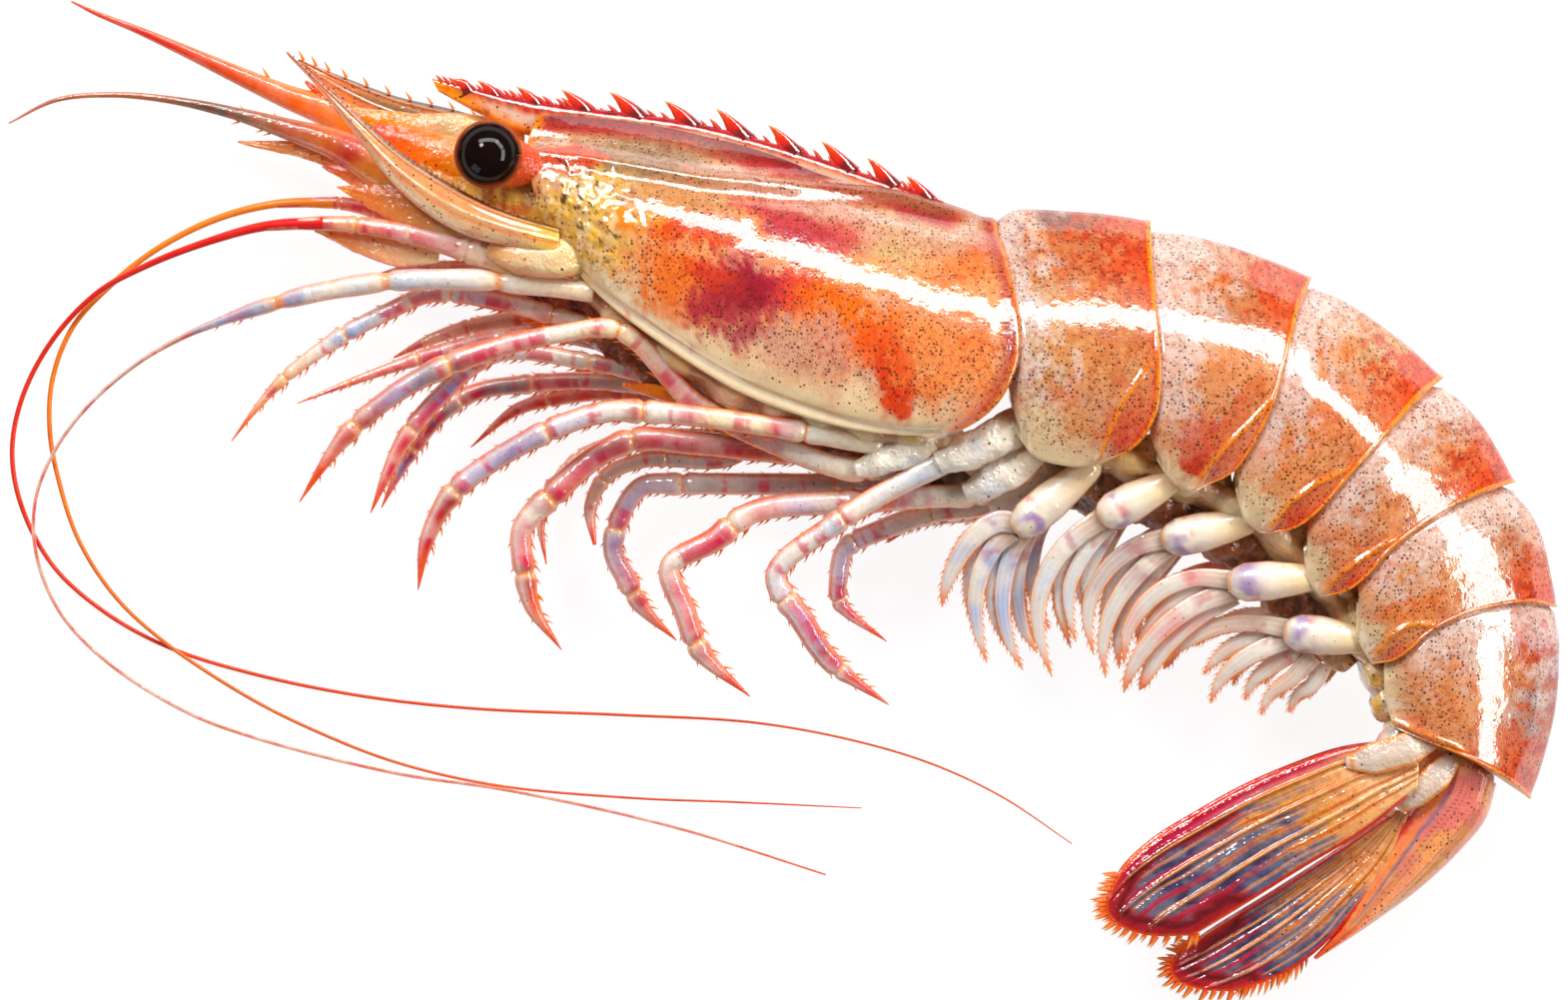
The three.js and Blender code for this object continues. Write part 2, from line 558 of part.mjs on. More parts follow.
// The walking legs and mouth legs, named from the front. Near ones lie above, and far ones below.
const legs = {
  mouth_leg_1_near: [
    [-24, 21.4, 12.4, 1.05], [-31, 22, 12.4, 1], [-39, 21.9, 11.6, 1],
    [-46, 20.9, 10.2, 0.95], [-51, 19.7, 9, 0.8], [-56, 18.1, 7.4, 0.5], [-60, 16.5, 6, 0.3],
    [-64.5, 14, 4.6, 0.22], [-69.5, 9.9, 3.2, 0.2], [-73.2, 5.2, 2.2, 0.19], [-75.3, 0, 1.7, 0.19],
    [-75.2, -5.6, 1.6, 0.19], [-72.8, -11.4, 1.6, 0.18], [-68, -16.4, 1.6, 0.18], [-60, -21.4, 1.6, 0.18],
    [-53, -24, 1.6, 0.17], [-39, -27.5, 1.6, 0.17], [-29, -29, 1.5, 0.16], [-19, -31, 1.1, 0.16],
    [-9, -33.5, 0.7, 0.15], [4.2, -37.7, 0.4, 0.14],
  ],
  mouth_leg_1_far: [
    [-19.6, 19, 7.6, 0.8], [-25, 22.2, 7.4, 0.95], [-31, 23.1, 7.2, 0.9], [-37, 23.1, 7, 0.75],
    [-42, 22.2, 6.8, 0.15],
  ],
  mouth_leg_2_near: [
    [-15.6, 16.4, 9.4, 0.9], [-22, 18.2, 9.2, 1], [-29, 20, 9, 1], [-35, 20.7, 9, 0.9],
    [-40, 18.7, 8.8, 0.9],
    [-45, 16, 8.4, 0.85], [-50, 12.3, 8, 0.6], [-52.8, 9.3, 7.8, 0.35], [-55.4, 5.9, 7.6, 0.08],
  ],
  mouth_leg_2_far: [
    [-16, 15.4, 6.8, 0.8], [-23, 16.6, 6.8, 0.85], [-29, 16.2, 6.8, 0.8], [-34, 15, 6.8, 0.8],
    [-39, 13.4, 6.8, 0.6], [-44, 11.6, 6.8, 0.35], [-48.8, 9.7, 6.8, 0.08],
  ],
  mouth_leg_3_far: [
    [-19, 17.6, 4.6, 0.8], [-25, 18.2, 4.4, 0.9], [-31, 17.5, 4.4, 0.85], [-35.5, 16.1, 4.4, 0.6],
    [-39.2, 14.3, 4.4, 0.1],
  ],
  leg_1_near: [
    [12.2, 4.6, 11.2, 1.1], [7.6, 3, 12.4, 1.15], [-2, 6.1, 12.2, 1.15], [-9, 9.8, 12.4, 1.1],
    [-16.4, 16.9, 14.2, 0.95],
    [-23, 16.5, 13.8, 0.95], [-30, 14.8, 13.2, 1.15], [-35.3, 12.7, 12.6, 1.1], [-39.5, 10.2, 12.2, 1],
    [-43.5, 6.8, 11.6, 0.95],
    [-45.8, 3.9, 11.2, 0.6], [-48.5, -0.2, 10.8, 0.08],
  ],
  mouth_leg_3_near: [
    [-9, 11.2, 8.8, 0.8], [-20, 13.9, 9.2, 0.85], [-29, 14.6, 10.1, 0.9], [-35, 9.8, 10, 0.95],
    [-38.2, 5.8, 9.8, 0.85],
    [-39.8, 2.5, 9.6, 0.6], [-41.4, -1.3, 9.4, 0.08],
  ],
  leg_1_far: [
    [-8, 10.6, 6.2, 0.8], [-19, 11.9, 5.6, 0.9], [-25, 11.7, 5.6, 0.95], [-31, 10.8, 5.8, 0.9],
    [-34.5, 8.6, 6, 0.9],
    [-37.2, 5.2, 6.2, 0.8], [-38.9, 2.3, 6.2, 0.5], [-40.4, -0.8, 6.2, 0.08],
  ],
  leg_2_near: [
    [9.4, 5.6, 14, 0.9], [1, 7, 15, 1.1], [-9, 8.4, 15.4, 1.1], [-13.5, 8.8, 15.4, 1.15],
    [-17.8, 8.8, 15.2, 1.1],
    [-25, 6.2, 14.4, 1.1], [-33, 0.8, 13, 1.1], [-35.7, -4, 12.4, 0.8], [-36.6, -9, 12, 0.08],
  ],
  leg_2_far: [
    [-7, 9.4, 4, 0.8], [-17, 10.8, 3.2, 0.85], [-23, 10.2, 3.2, 0.8], [-27, 9, 3.2, 0.65],
    [-31.5, 5.3, 3.2, 0.08],
  ],
  leg_3_near: [
    [10.6, 4.6, 8.8, 1], [-1, 4.9, 9.6, 1.2], [-9, 5.7, 9.9, 1.25], [-15, 6, 10.2, 1.2],
    [-19, 4.2, 10.4, 1.2],
    [-23, 0.7, 10.4, 1.3], [-26.2, -2.9, 10, 1.1], [-26, -7, 9.6, 1.1], [-25.2, -10.7, 9.2, 0.85],
    [-22.3, -15, 8.8, 0.08],
  ],
  leg_3_far: [
    [-4, 6.6, 4.6, 0.8], [-14, 6.2, 4.4, 0.9], [-20, 4.5, 4, 0.8], [-23, 1.5, 3.6, 0.7],
    [-24.4, -2, 3.4, 0.5], [-23.9, -6.5, 3.2, 0.08],
  ],
  leg_branch_1_far: [
    [-5, 4.2, 7.2, 0.7], [-14, 4, 7.3, 0.8], [-17.8, 2.4, 7.2, 0.8], [-19.4, -0.8, 7, 0.7],
    [-19, -4.5, 6.9, 0.25],
  ],
  leg_4_near: [
    [20.6, 1.2, 10, 1.2], [14, 0.3, 10.4, 1.2], [6, -0.2, 10.3, 1.25], [-3, -1.2, 10, 1.15],
    [-7, -4, 9.8, 1.25],
    [-11.4, -6.7, 9.4, 1.1], [-10, -11, 9, 1.2], [-8.3, -15.2, 8.6, 1.05], [-3.4, -19.7, 8.2, 0.08],
  ],
  leg_4_far: [
    [16, 1.9, 6.4, 1.1], [7, 1.6, 6.5, 1.15], [-3, 1.6, 6.5, 1.15], [-10, 1.6, 6.2, 1.1],
    [-14.5, 1.2, 5.6, 1.05],
    [-17.2, -4.7, 4.6, 1], [-15.8, -8, 4.4, 1.1], [-14.2, -10.8, 4.2, 0.8], [-10.8, -14.1, 4, 0.08],
  ],
  leg_5_near: [
    [15, 3.4, 13.6, 1.35], [11, 1.3, 13.6, 1.15], [5.2, -2.3, 13.4, 1.1],
    [-0.8, -7.5, 12.6, 1.1],
    [1.8, -12, 12.2, 1.25], [4.5, -16, 11.8, 1.1], [10.5, -20.5, 11.4, 0.08],
  ],
  leg_5_far: [
    [20.2, 0, 5.6, 1.2], [15, -1.2, 5.5, 1.15], [10, -2.9, 5.2, 1.1], [6.2, -4.9, 4.8, 1],
    [5.5, -7.6, 4.6, 1],
    [5.6, -10.3, 4.4, 0.8], [10.3, -14.2, 4.2, 0.08],
  ],
  leg_branch_2_far: [
    [21, -0.9, 2.8, 1], [16.4, -1.4, 2.5, 1.05], [12.5, -2.6, 2.4, 0.6], [10.4, -4.3, 2.3, 0.08],
  ],
};

// Where each leg leaves the underside of the head, from 0 at the mouth to 1 behind the last pair.
const hips = {
  mouth_leg_1_near: 0.05,
  mouth_leg_1_far: 0.06,
  mouth_leg_2_near: 0.15,
  mouth_leg_2_far: 0.18,
  mouth_leg_3_near: 0.34,
  mouth_leg_3_far: 0.1,
  leg_1_near: 0.74,
  leg_1_far: 0.36,
  leg_2_near: 0.66,
  leg_2_far: 0.4,
  leg_3_near: 0.56,
  leg_3_far: 0.5,
  leg_4_near: 0.9,
  leg_4_far: 0.78,
  leg_5_near: 0.93,
  leg_5_far: 0.92,
  leg_branch_1_far: 0.46,
  leg_branch_2_far: 0.95,
};
const hipSpread = 3.6; // distance of the legs' roots from the plane of symmetry

for (const [name, places] of Object.entries(legs)) {
  const hip = sternum(hips[name]);
  const side = name.endsWith("near") ? 1 : -1;
  const root = [hip.x, hip.y, headPlane + side * hipSpread, places[0][3]];
  const whipped = name === "mouth_leg_1_near"; // this one runs out into a long whip
  const mesh = whipped ? { sides: 4, perSpan: 2 } : { sides: 5 };
  add(name, limb([root, ...places], mesh), limbFinish);
}

// ---------------------------------------------------------------- belly and swimming legs

// The soft belly lies in the channel under the abdomen.
const belly = {
  path: line([
    [25.2, 5.2], [30, 4.4], [36, 3.4], [42, 1], [47.6, -2], [52.8, -6.6], [56.4, -11.6], [59.4, -17],
    [60.8, -21],
  ]),
  depth: 2,
  halfWidths: [6.4, 6.2, 5.4, 4.6, 3.4],
  plane: [9.1, tailPlane],
};
add("belly", underside(belly), fleshFinish);

// Each swimming leg has a stout stem and pointed blades that hang from it.
const swimmerDepth = 3.7; // distance of the stems from the plane of symmetry
const swimmers = [
  {
    plane: 9,
    stem: [[30.6, 3.2, 1.4], [29.4, 0.7, 1.5], [26.4, -0.9, 1.8], [23.4, -2.8, 1.5]],
    blades: [
      [[23.6, -2.3, 1.1], [20.6, -2.4, 1.2], [17.8, -5.2, 1.2], [16.2, -8.6, 0.7], [15.8, -10.7, 0.08]],
      [[22.8, -3.2, 1], [20.8, -5, 1], [19.3, -8.6, 1.05], [19.3, -12.5, 0.8], [20.3, -16.3, 0.08]],
      [[24, -3.2, 1], [22.9, -5, 0.95], [21.9, -9, 1], [22.3, -13.4, 0.8], [23.9, -17, 0.08]],
    ],
  },
  {
    plane: 8.5,
    stem: [[38.6, 1.8, 1.3], [37.2, 0.2, 1.4], [34.4, -0.4, 1.7], [31.8, -1.7, 1.4]],
    blades: [
      [[31.8, -1.8, 1.1], [28.6, -4.2, 1.1], [26, -8, 1.1], [25.4, -12.6, 0.9], [26.8, -17.7, 0.08]],
      [[32.4, -2.4, 0.9], [30, -5.4, 0.9], [28.4, -9.6, 0.8], [29.2, -14.2, 0.08]],
    ],
  },
  {
    plane: 8,
    stem: [[46.4, -2.2, 1.3], [44.8, -3.4, 1.4], [42, -3.6, 1.8], [38.2, -4, 1.4]],
    blades: [
      [[38.4, -3.8, 1.1], [34.6, -5, 1], [31.4, -8.2, 1], [30.4, -11.6, 0.8], [31, -15.5, 0.08]],
      [[38.6, -4.6, 1], [36.2, -6.6, 1], [33.4, -10, 1.1], [32, -13.8, 0.85], [32.2, -17.8, 0.08]],
    ],
  },
  {
    plane: 7.5,
    stem: [[53, -7.8, 1.2], [51.2, -9.2, 1.3], [48.6, -9, 1.75], [44.8, -8.3, 1.4]],
    blades: [
      [[44.8, -8, 1], [40.4, -7.9, 0.9], [37, -9.6, 1.1], [34.6, -12.6, 0.9], [34, -16.4, 0.1]],
      [[45, -9, 1.1], [40.4, -10.9, 1.1], [36.6, -14.2, 1.1], [34.6, -17.4, 0.7], [34, -19.3, 0.08]],
    ],
  },
  {
    plane: 6.9,
    stem: [[58, -14, 1.2], [56, -15.2, 1.3], [53.4, -14.9, 1.7], [50.4, -13.2, 1.3]],
    blades: [
      [[50.6, -12.9, 1], [46, -12.3, 0.9], [42, -13.2, 1.1], [38.4, -16, 0.08]],
      [[50.8, -13.8, 1], [46.2, -15.8, 1.1], [43.6, -18.2, 0.7], [42.7, -20.4, 0.08]],
      [[53, -15.6, 1], [50.8, -17.9, 0.9], [48.6, -19.6, 0.6], [47.8, -21.6, 0.08]],
    ],
  },
];

// Far swimming legs lie a little behind the near ones, and their blades are shorter.
const farShift = [1.4, 0.9];
const farShrink = 0.88;
const spread = 0.9; // every second pair stands this much farther out
const bladeSink = { each: 0.5, along: 0.25 }; // how far each blade, and each place along it, lies inward
swimmers.forEach(({ plane, stem, blades }, i) => {
  ["near", "far"].forEach((side) => {
    const near = side === "near";
    const sign = near ? 1 : -1;
    const shift = near ? [0, 0] : farShift;
    const shrink = near ? 1 : farShrink;
    const depth = swimmerDepth + (i % 2 ? spread : 0);
    const raise = ([x, y, r], sink) => {
      const z = Math.max(r * 0.6 + 0.2, plane + sign * (depth - sink));
      return [x + shift[0], y + shift[1], z, r * shrink];
    };
    const parts = [limb(stem.map((p) => raise(p, 0)), { sides: 5 })];
    blades.forEach((places, k) => {
      const root = places[0];
      const lowered = places.map(([x, y, r], j) =>
        raise(
          [mix(root[0], x, shrink), mix(root[1], y, shrink), r],
          k * bladeSink.each + j * bladeSink.along,
        ),
      );
      parts.push(limb(lowered, { sides: 5, flat: 0.45 }));
    });
    add("pleopod_" + (i + 1) + "_" + side, joined(parts), limbFinish);
  });
});

// ---------------------------------------------------------------- tail fan

// The telson: a stout, pointed wedge in the plane of symmetry.
const telson = {
  front: [[71.5, -28.5], [69, -27.1], [65.3, -25.9]],
  back: [[71.5, -28.5], [70.4, -32], [68, -35], [64, -38.8], [59, -42.5], [53.5, -46.1]],
  edge: [[65.3, -25.9], [64.7, -28], [62, -32], [59, -37.2], [55.6, -43], [53.1, -45.9]],
  rear: [[53.5, -46.1], [53.1, -45.9]],
};

function wedge(outlines, halfWidths, plane) {
  const place = patch(outlines);
  const halfWidth = graded(halfWidths);
  const rings = [];
  for (let i = 0; i <= 7; i++) {
    const u = i / 7;
    const ring = [];
    for (let j = 0; j < 10; j++) {
      const angle = (2 * Math.PI * j) / 10;
      const t = 0.5 - 0.5 * Math.cos(angle);
      ring.push(place(u, t).setZ(plane + halfWidth(u) * Math.sin(angle)));
    }
    rings.push(ring);
  }
  return loft(rings);
}
add("telson", wedge(telson, [2.6, 2.4, 1.8, 1.2, 0.5], tailPlane), shellFinish);

// A short, stout base on each side carries an outer and an inner blade.
[1, -1].forEach((side) => {
  const z = tailPlane + side * 3.3;
  const base = limb(
    [
      [62.6, -22.4, z, 1.6],
      [61.6, -24.6, z, 2.1],
      [60.2, -26.4, z, 1.9],
    ],
    { sides: 8, flat: 0.7 },
  );
  add(side > 0 ? "fan_base_near" : "fan_base_far", base, limbFinish);
});

// The four side blades of the fan.
const outerBlade = {
  front: [[62, -24], [63.4, -26], [63.4, -29]],
  back: [
    [62, -24], [56, -24.8], [51, -26.5], [46, -28.7], [41, -31.5], [37, -34], [34, -36.8],
    [32.6, -39.3],
  ],
  rear: [[32.6, -39.3], [32.2, -40.8], [33.4, -42.5], [36.5, -43.6], [41, -43.6]],
  edge: [[63.4, -29], [58, -33.2], [52, -36.8], [45, -41.2], [41, -43.6]],
};
const innerBlade = {
  front: [[61.4, -31], [62.6, -31.6]],
  back: [[61.4, -31], [56, -34.8], [49, -39.3], [43, -43], [39.5, -45.5]],
  rear: [[39.5, -45.5], [38.7, -46.8], [39.4, -48.2], [41.8, -49.1], [45, -49.3]],
  edge: [[62.6, -31.6], [61, -36], [57, -41.5], [53, -45.6], [49.5, -47.8], [45, -49.3]],
};
const fan = [
  { name: "uropod_outer_near", outlines: outerBlade, heights: [10.6, 9.6], thickness: 0.9 },
  { name: "uropod_inner_near", outlines: innerBlade, heights: [9.3, 8.2], thickness: 0.8 },
  { name: "uropod_inner_far", outlines: innerBlade, heights: [2.4, 2.2], thickness: 0.7, across: 2 },
  { name: "uropod_outer_far", outlines: outerBlade, heights: [1, 1], thickness: 0.8, across: 2 },
];
fan.forEach(({ name, ...shape }) => add(name, blade(shape), finFinish));

// ---------------------------------------------------------------- frame

// The origin is the centre of the box around the shrimp, on the table.
const box = new THREE.Box3().setFromObject(shrimp);
const centre = box.getCenter(new THREE.Vector3());
shrimp.position.set(-centre.x, -centre.y, -box.min.z);

export default shrimp;
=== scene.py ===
import math

import bpy
import numpy as np
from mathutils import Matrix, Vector, noise


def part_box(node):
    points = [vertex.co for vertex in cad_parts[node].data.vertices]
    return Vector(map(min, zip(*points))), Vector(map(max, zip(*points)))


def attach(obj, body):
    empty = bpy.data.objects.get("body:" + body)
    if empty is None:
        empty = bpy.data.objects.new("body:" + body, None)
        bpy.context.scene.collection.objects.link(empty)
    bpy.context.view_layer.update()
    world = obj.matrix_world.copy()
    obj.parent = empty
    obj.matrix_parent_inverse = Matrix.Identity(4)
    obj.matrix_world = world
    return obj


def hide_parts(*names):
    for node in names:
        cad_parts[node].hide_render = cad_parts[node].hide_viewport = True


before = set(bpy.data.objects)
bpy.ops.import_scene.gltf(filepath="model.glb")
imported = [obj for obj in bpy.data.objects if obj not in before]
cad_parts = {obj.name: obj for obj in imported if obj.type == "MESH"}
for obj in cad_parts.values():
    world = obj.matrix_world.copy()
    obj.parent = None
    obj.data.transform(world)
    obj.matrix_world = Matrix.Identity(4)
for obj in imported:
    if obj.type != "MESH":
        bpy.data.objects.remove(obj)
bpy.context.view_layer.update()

mm = 0.001

# The eye ties this script's own millimetres to the frame.
eye = {"place": (-29.5, 34.5), "radius": 3.2, "aside": 6.2, "plane": 9.55}
eyeLow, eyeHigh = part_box("eye_near")
shift = np.array([
    eyeLow[0] / mm - (eye["place"][0] - eye["radius"]),
    eyeHigh[1] / mm - (eye["place"][1] + eye["radius"]),
    0.0,
])


def tone(red, green, blue):
    return np.array([((c / 255 + 0.055) / 1.055) ** 2.4 for c in (red, green, blue)])


tones = {
    "peach": tone(242, 160, 98), "cream": tone(248, 216, 168), "greyPink": tone(214, 166, 142),
    "sand": tone(208, 172, 118), "tan": tone(205, 142, 86), "yolk": tone(244, 190, 80),
    "amber": tone(250, 142, 0), "orange": tone(244, 112, 8), "coral": tone(246, 128, 52),
    "salmon": tone(238, 136, 90), "rust": tone(198, 84, 16), "ember": tone(230, 62, 0),
    "red": tone(222, 34, 12), "coralRed": tone(228, 60, 34), "wine": tone(150, 12, 34),
    "rose": tone(206, 84, 76), "berry": tone(186, 34, 62), "crimson": tone(180, 8, 34),
    "darkRed": tone(118, 18, 14),
    "brown": tone(172, 104, 62), "apricot": tone(238, 160, 86), "mauve": tone(176, 150, 150),
    "milk": tone(242, 230, 214), "violet": tone(148, 116, 178), "lavender": tone(206, 190, 214),
    "blue": tone(120, 154, 210), "skyGrey": tone(196, 206, 220), "magenta": tone(214, 16, 76),
    "pink": tone(232, 112, 116), "grey": tone(190, 184, 182), "purple": tone(92, 40, 96),
    "ochre": tone(226, 156, 66), "slate": tone(92, 106, 136), "darkBrown": tone(70, 32, 16),
    "black": tone(18, 9, 8), "flame": tone(240, 78, 6), "paleOrange": tone(250, 166, 76),
    "glass": tone(218, 192, 176), "olive": tone(132, 104, 66),
}

# outlines and paths


def along(places, shares):
    knots = np.array([tuple(p[:3]) + (0.0,) * (3 - len(p[:3])) for p in places], float)
    spans = len(knots) - 1
    ends = np.vstack([2 * knots[0] - knots[1], knots, 2 * knots[-1] - knots[-2]])
    s = np.clip(shares, 0, 1) * spans
    i = np.minimum(s.astype(int), spans - 1)
    w = (s - i)[:, None]
    p0, p1, p2, p3 = (ends[i + k] for k in range(4))
    step = lambda a, b: np.maximum(np.linalg.norm(b - a, axis=1), 1e-4)[:, None] ** 0.5
    a, b, c = step(p0, p1), step(p1, p2), step(p2, p3)
    leave = ((p1 - p0) / a - (p2 - p0) / (a + b) + (p2 - p1) / b) * b
    reach = ((p2 - p1) / b - (p3 - p1) / (b + c) + (p3 - p2) / c) * b
    return (
        (2 * w**3 - 3 * w**2 + 1) * p1 + (w**3 - 2 * w**2 + w) * leave
        + (3 * w**2 - 2 * w**3) * p2 + (w**3 - w**2) * reach
    )


def level(shares, values):
    # even values read at shares of their run
    return np.interp(shares, unit(len(values)), values)


def station(path, share, step):
    # the point at a share of a path, and the way the path runs there
    before, here, after = along(path, [share - step, share, share + step])
    ahead = after - before
    return here, ahead / np.linalg.norm(ahead)


def evenPath(places, count):
    # points at even distances, with the radius of each
    fine = unit(40 * len(places))
    points = along(places, fine)
    run = np.concatenate([[0], np.cumsum(np.linalg.norm(np.diff(points, axis=0), axis=1))])
    wanted = np.linspace(0, run[-1], count)
    shares = np.interp(wanted, run, fine)
    radii = [p[3] for p in places] if len(places[0]) > 3 else [1] * len(places)
    return along(places, shares), np.interp(shares, unit(len(places)), radii), wanted


def patch(outlines, u, t):
    f, r = along(outlines["front"], t)[None], along(outlines["rear"], t)[None]
    b, e = along(outlines["back"], u)[:, None], along(outlines["edge"], u)[:, None]
    length, breadth = u[:, None, None], t[None, :, None]
    across = lambda row: (1 - breadth) * row[:, :1] + breadth * row[:, -1:]
    corners = (1 - length) * across(f) + length * across(r)
    return (1 - length) * f + length * r + (1 - breadth) * b + breadth * e - corners


def ease(low, high, x):
    s = np.clip((x - low) / (high - low), 0, 1)
    return s * s * (3 - 2 * s)


def bump(centre, width, x):
    return np.exp(-(((x - centre) / width) ** 2))


def grain(points, size, octaves=3, seed=0.0):
    flat = (np.asarray(points).reshape(-1, 3) / size + seed).tolist()
    values = [noise.fractal(p, 0.8, 2.0, octaves) for p in flat]
    return np.array(values).reshape(np.asarray(points).shape[:-1])


def nearLine(points, route):
    # distance in the XY plane from each point to a route
    p = points[..., None, :2]
    a, b = np.array(route, float)[:-1], np.array(route, float)[1:]
    ab = b - a
    s = np.clip(((p - a) * ab).sum(-1) / np.maximum((ab * ab).sum(-1), 1e-9), 0, 1)
    return np.linalg.norm(p - (a + s[..., None] * ab), axis=-1).min(-1)


def unit(count):
    return np.linspace(0, 1, count)


def circle(sides):
    return np.linspace(0, 2 * math.pi, sides, endpoint=False)


def blend(colour, other, weight):
    return colour + (other - colour) * np.clip(weight, 0, 1)[..., None]


def coats(colour, layers):
    # one colour over another: each layer is a tone and how strongly it covers
    for name, weight in layers:
        colour = blend(colour, tones[name] if isinstance(name, str) else name, weight)
    return colour


def plain(name, points):
    return np.broadcast_to(tones[name], points.shape)


def skin(colour, stain=0.0, dotted=None):
    # what a wet finish reads at each point: the colour, the stain and the dots
    none = np.zeros(colour.shape[:-1])
    marks = [none + stain, none + (stain if dotted is None else dotted), none]
    return {"ground": colour, "marks": np.stack(marks, -1)}


def paintBlobs(colour, points, blobs, seed=0.0):
    rough = 0.5 * grain(points, 3.2, 3, seed) + 0.45 * grain(points, 0.8, 3, seed + 7)
    for x, y, a, b, turn, name, strength in blobs:
        c, s = math.cos(math.radians(turn)), math.sin(math.radians(turn))
        dx, dy = points[..., 0] - x, points[..., 1] - y
        d = np.hypot((dx * c + dy * s) / a, (dy * c - dx * s) / b) + rough
        colour = blend(colour, tones[name], 1.12 * strength * ease(1.3, 0.6, d))
    return colour


# meshes


def ringNormals(rings):
    du = np.gradient(rings, axis=0)
    dv = np.roll(rings, -1, 1) - np.roll(rings, 1, 1)
    normals = np.cross(du, dv)
    normals /= np.maximum(np.linalg.norm(normals, axis=-1, keepdims=True), 1e-9)
    outward = (normals * (rings - rings.mean(1, keepdims=True))).sum()
    return normals if outward > 0 else -normals


def newObject(name, data):
    thing = bpy.data.objects.new(name, data)
    bpy.context.collection.objects.link(thing)
    return thing


def newPiece(name, points, edges, faces, layers):
    # points are in this script's millimetres; each layer is a kind of attribute, its key and its values
    mesh = bpy.data.meshes.new(name)
    mesh.from_pydata(((points + shift) * mm).tolist(), edges, faces)
    for layer, (kind, key, values) in layers.items():
        attribute = mesh.attributes.new(layer, kind, "POINT")
        attribute.data.foreach_set(key, np.asarray(values, np.float32).ravel())
    return newObject(name, mesh)


def addMesh(name, points, faces, layers, material, nodes=()):
    opaque = np.ones((len(points), 1))
    piece = newPiece(name, points, [], faces, {
        layer: ("FLOAT_COLOR", "color", np.hstack([values, opaque])) for layer, values in layers.items()
    })
    piece.data.polygons.foreach_set("use_smooth", [True] * len(piece.data.polygons))
    piece.data.materials.append(material)
    piece.data.update()
    finishPiece(piece, nodes)


def finishPiece(piece, nodes=()):
    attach(piece, "root")
    if nodes:
        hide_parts(*nodes)


def ringFaces(count, width, start=0):
    faces = []
    for i in range(count - 1):
        for j in range(width):
            a, b = start + i * width + j, start + i * width + (j + 1) % width
            faces.append((a, b, b + width, a + width))
    faces.append(tuple(start + j for j in reversed(range(width))))
    faces.append(tuple(start + (count - 1) * width + j for j in range(width)))
    return faces


def outwardFaces(points, faces):
    quads = np.array([f for f in faces if len(f) == 4])
    p = points[quads]
    volume = (np.cross(p[:, 1] - p[:, 0], p[:, 2] - p[:, 0]) * p[:, 0]).sum()
    volume += (np.cross(p[:, 2] - p[:, 0], p[:, 3] - p[:, 0]) * p[:, 0]).sum()
    return faces if volume > 0 else [tuple(reversed(f)) for f in faces]


def addSolids(name, solids, material, nodes=()):
    # each solid is its rings and its layers, and all of them become one piece
    points, faces, layers, start = [], [], {}, 0
    for rings, painted in solids:
        count, width = rings.shape[:2]
        flat = rings.reshape(-1, 3)
        faces += [tuple(i + start for i in f) for f in outwardFaces(flat, ringFaces(count, width))]
        points.append(flat)
        start += len(flat)
        for layer, values in painted.items():
            layers.setdefault(layer, []).append(values.reshape(len(flat), -1))
    joined = {layer: np.vstack(values) for layer, values in layers.items()}
    addMesh(name, np.vstack(points), faces, joined, material, nodes)


def tube(places, count, sides, flat=1.0, swell=None):
    # rings around a path; flat is their height over their width
    centre, radius, run = evenPath(places, count)
    if swell is not None:
        radius = radius * swell(run / run[-1])
    ahead = np.gradient(centre, axis=0)
    ahead /= np.linalg.norm(ahead, axis=1, keepdims=True)
    aside = np.cross([0.0, 0.0, 1.0], ahead)
    aside /= np.maximum(np.linalg.norm(aside, axis=1, keepdims=True), 1e-6)
    over = np.cross(ahead, aside)
    angle = circle(sides)
    rings = (
        centre[:, None]
        + (radius[:, None] * np.cos(angle))[..., None] * aside[:, None]
        + (flat * radius[:, None] * np.sin(angle))[..., None] * over[:, None]
    )
    share = run / run[-1]
    return rings, {
        "centre": centre, "radius": radius, "run": run, "ahead": ahead, "aside": aside, "angle": angle,
        # share of the length at each ring, the same at each point, and how near the point is to either edge
        "share": share, "grid": np.broadcast_to(share[:, None], rings.shape[:2]),
        "rim": np.abs(np.cos(angle))[None],
    }


# materials


class Wiring:
    # adds nodes to a tree; each input is linked to a socket or set to a value
    def __init__(self, tree):
        self.tree = tree

    def add(self, kind, values, out=0, **settings):
        node = self.tree.nodes.new(kind)
        for key, value in settings.items():
            setattr(node, key, value)
        for key, value in values.items():
            if isinstance(value, bpy.types.NodeSocket):
                self.tree.links.new(value, node.inputs[key])
            else:
                node.inputs[key].default_value = value
        return node.outputs[out]

    def maths(self, operation, *values):
        padded = (*values, 0.0, 0.0)[:3]
        return self.add("ShaderNodeMath", dict(enumerate(padded)), operation=operation)


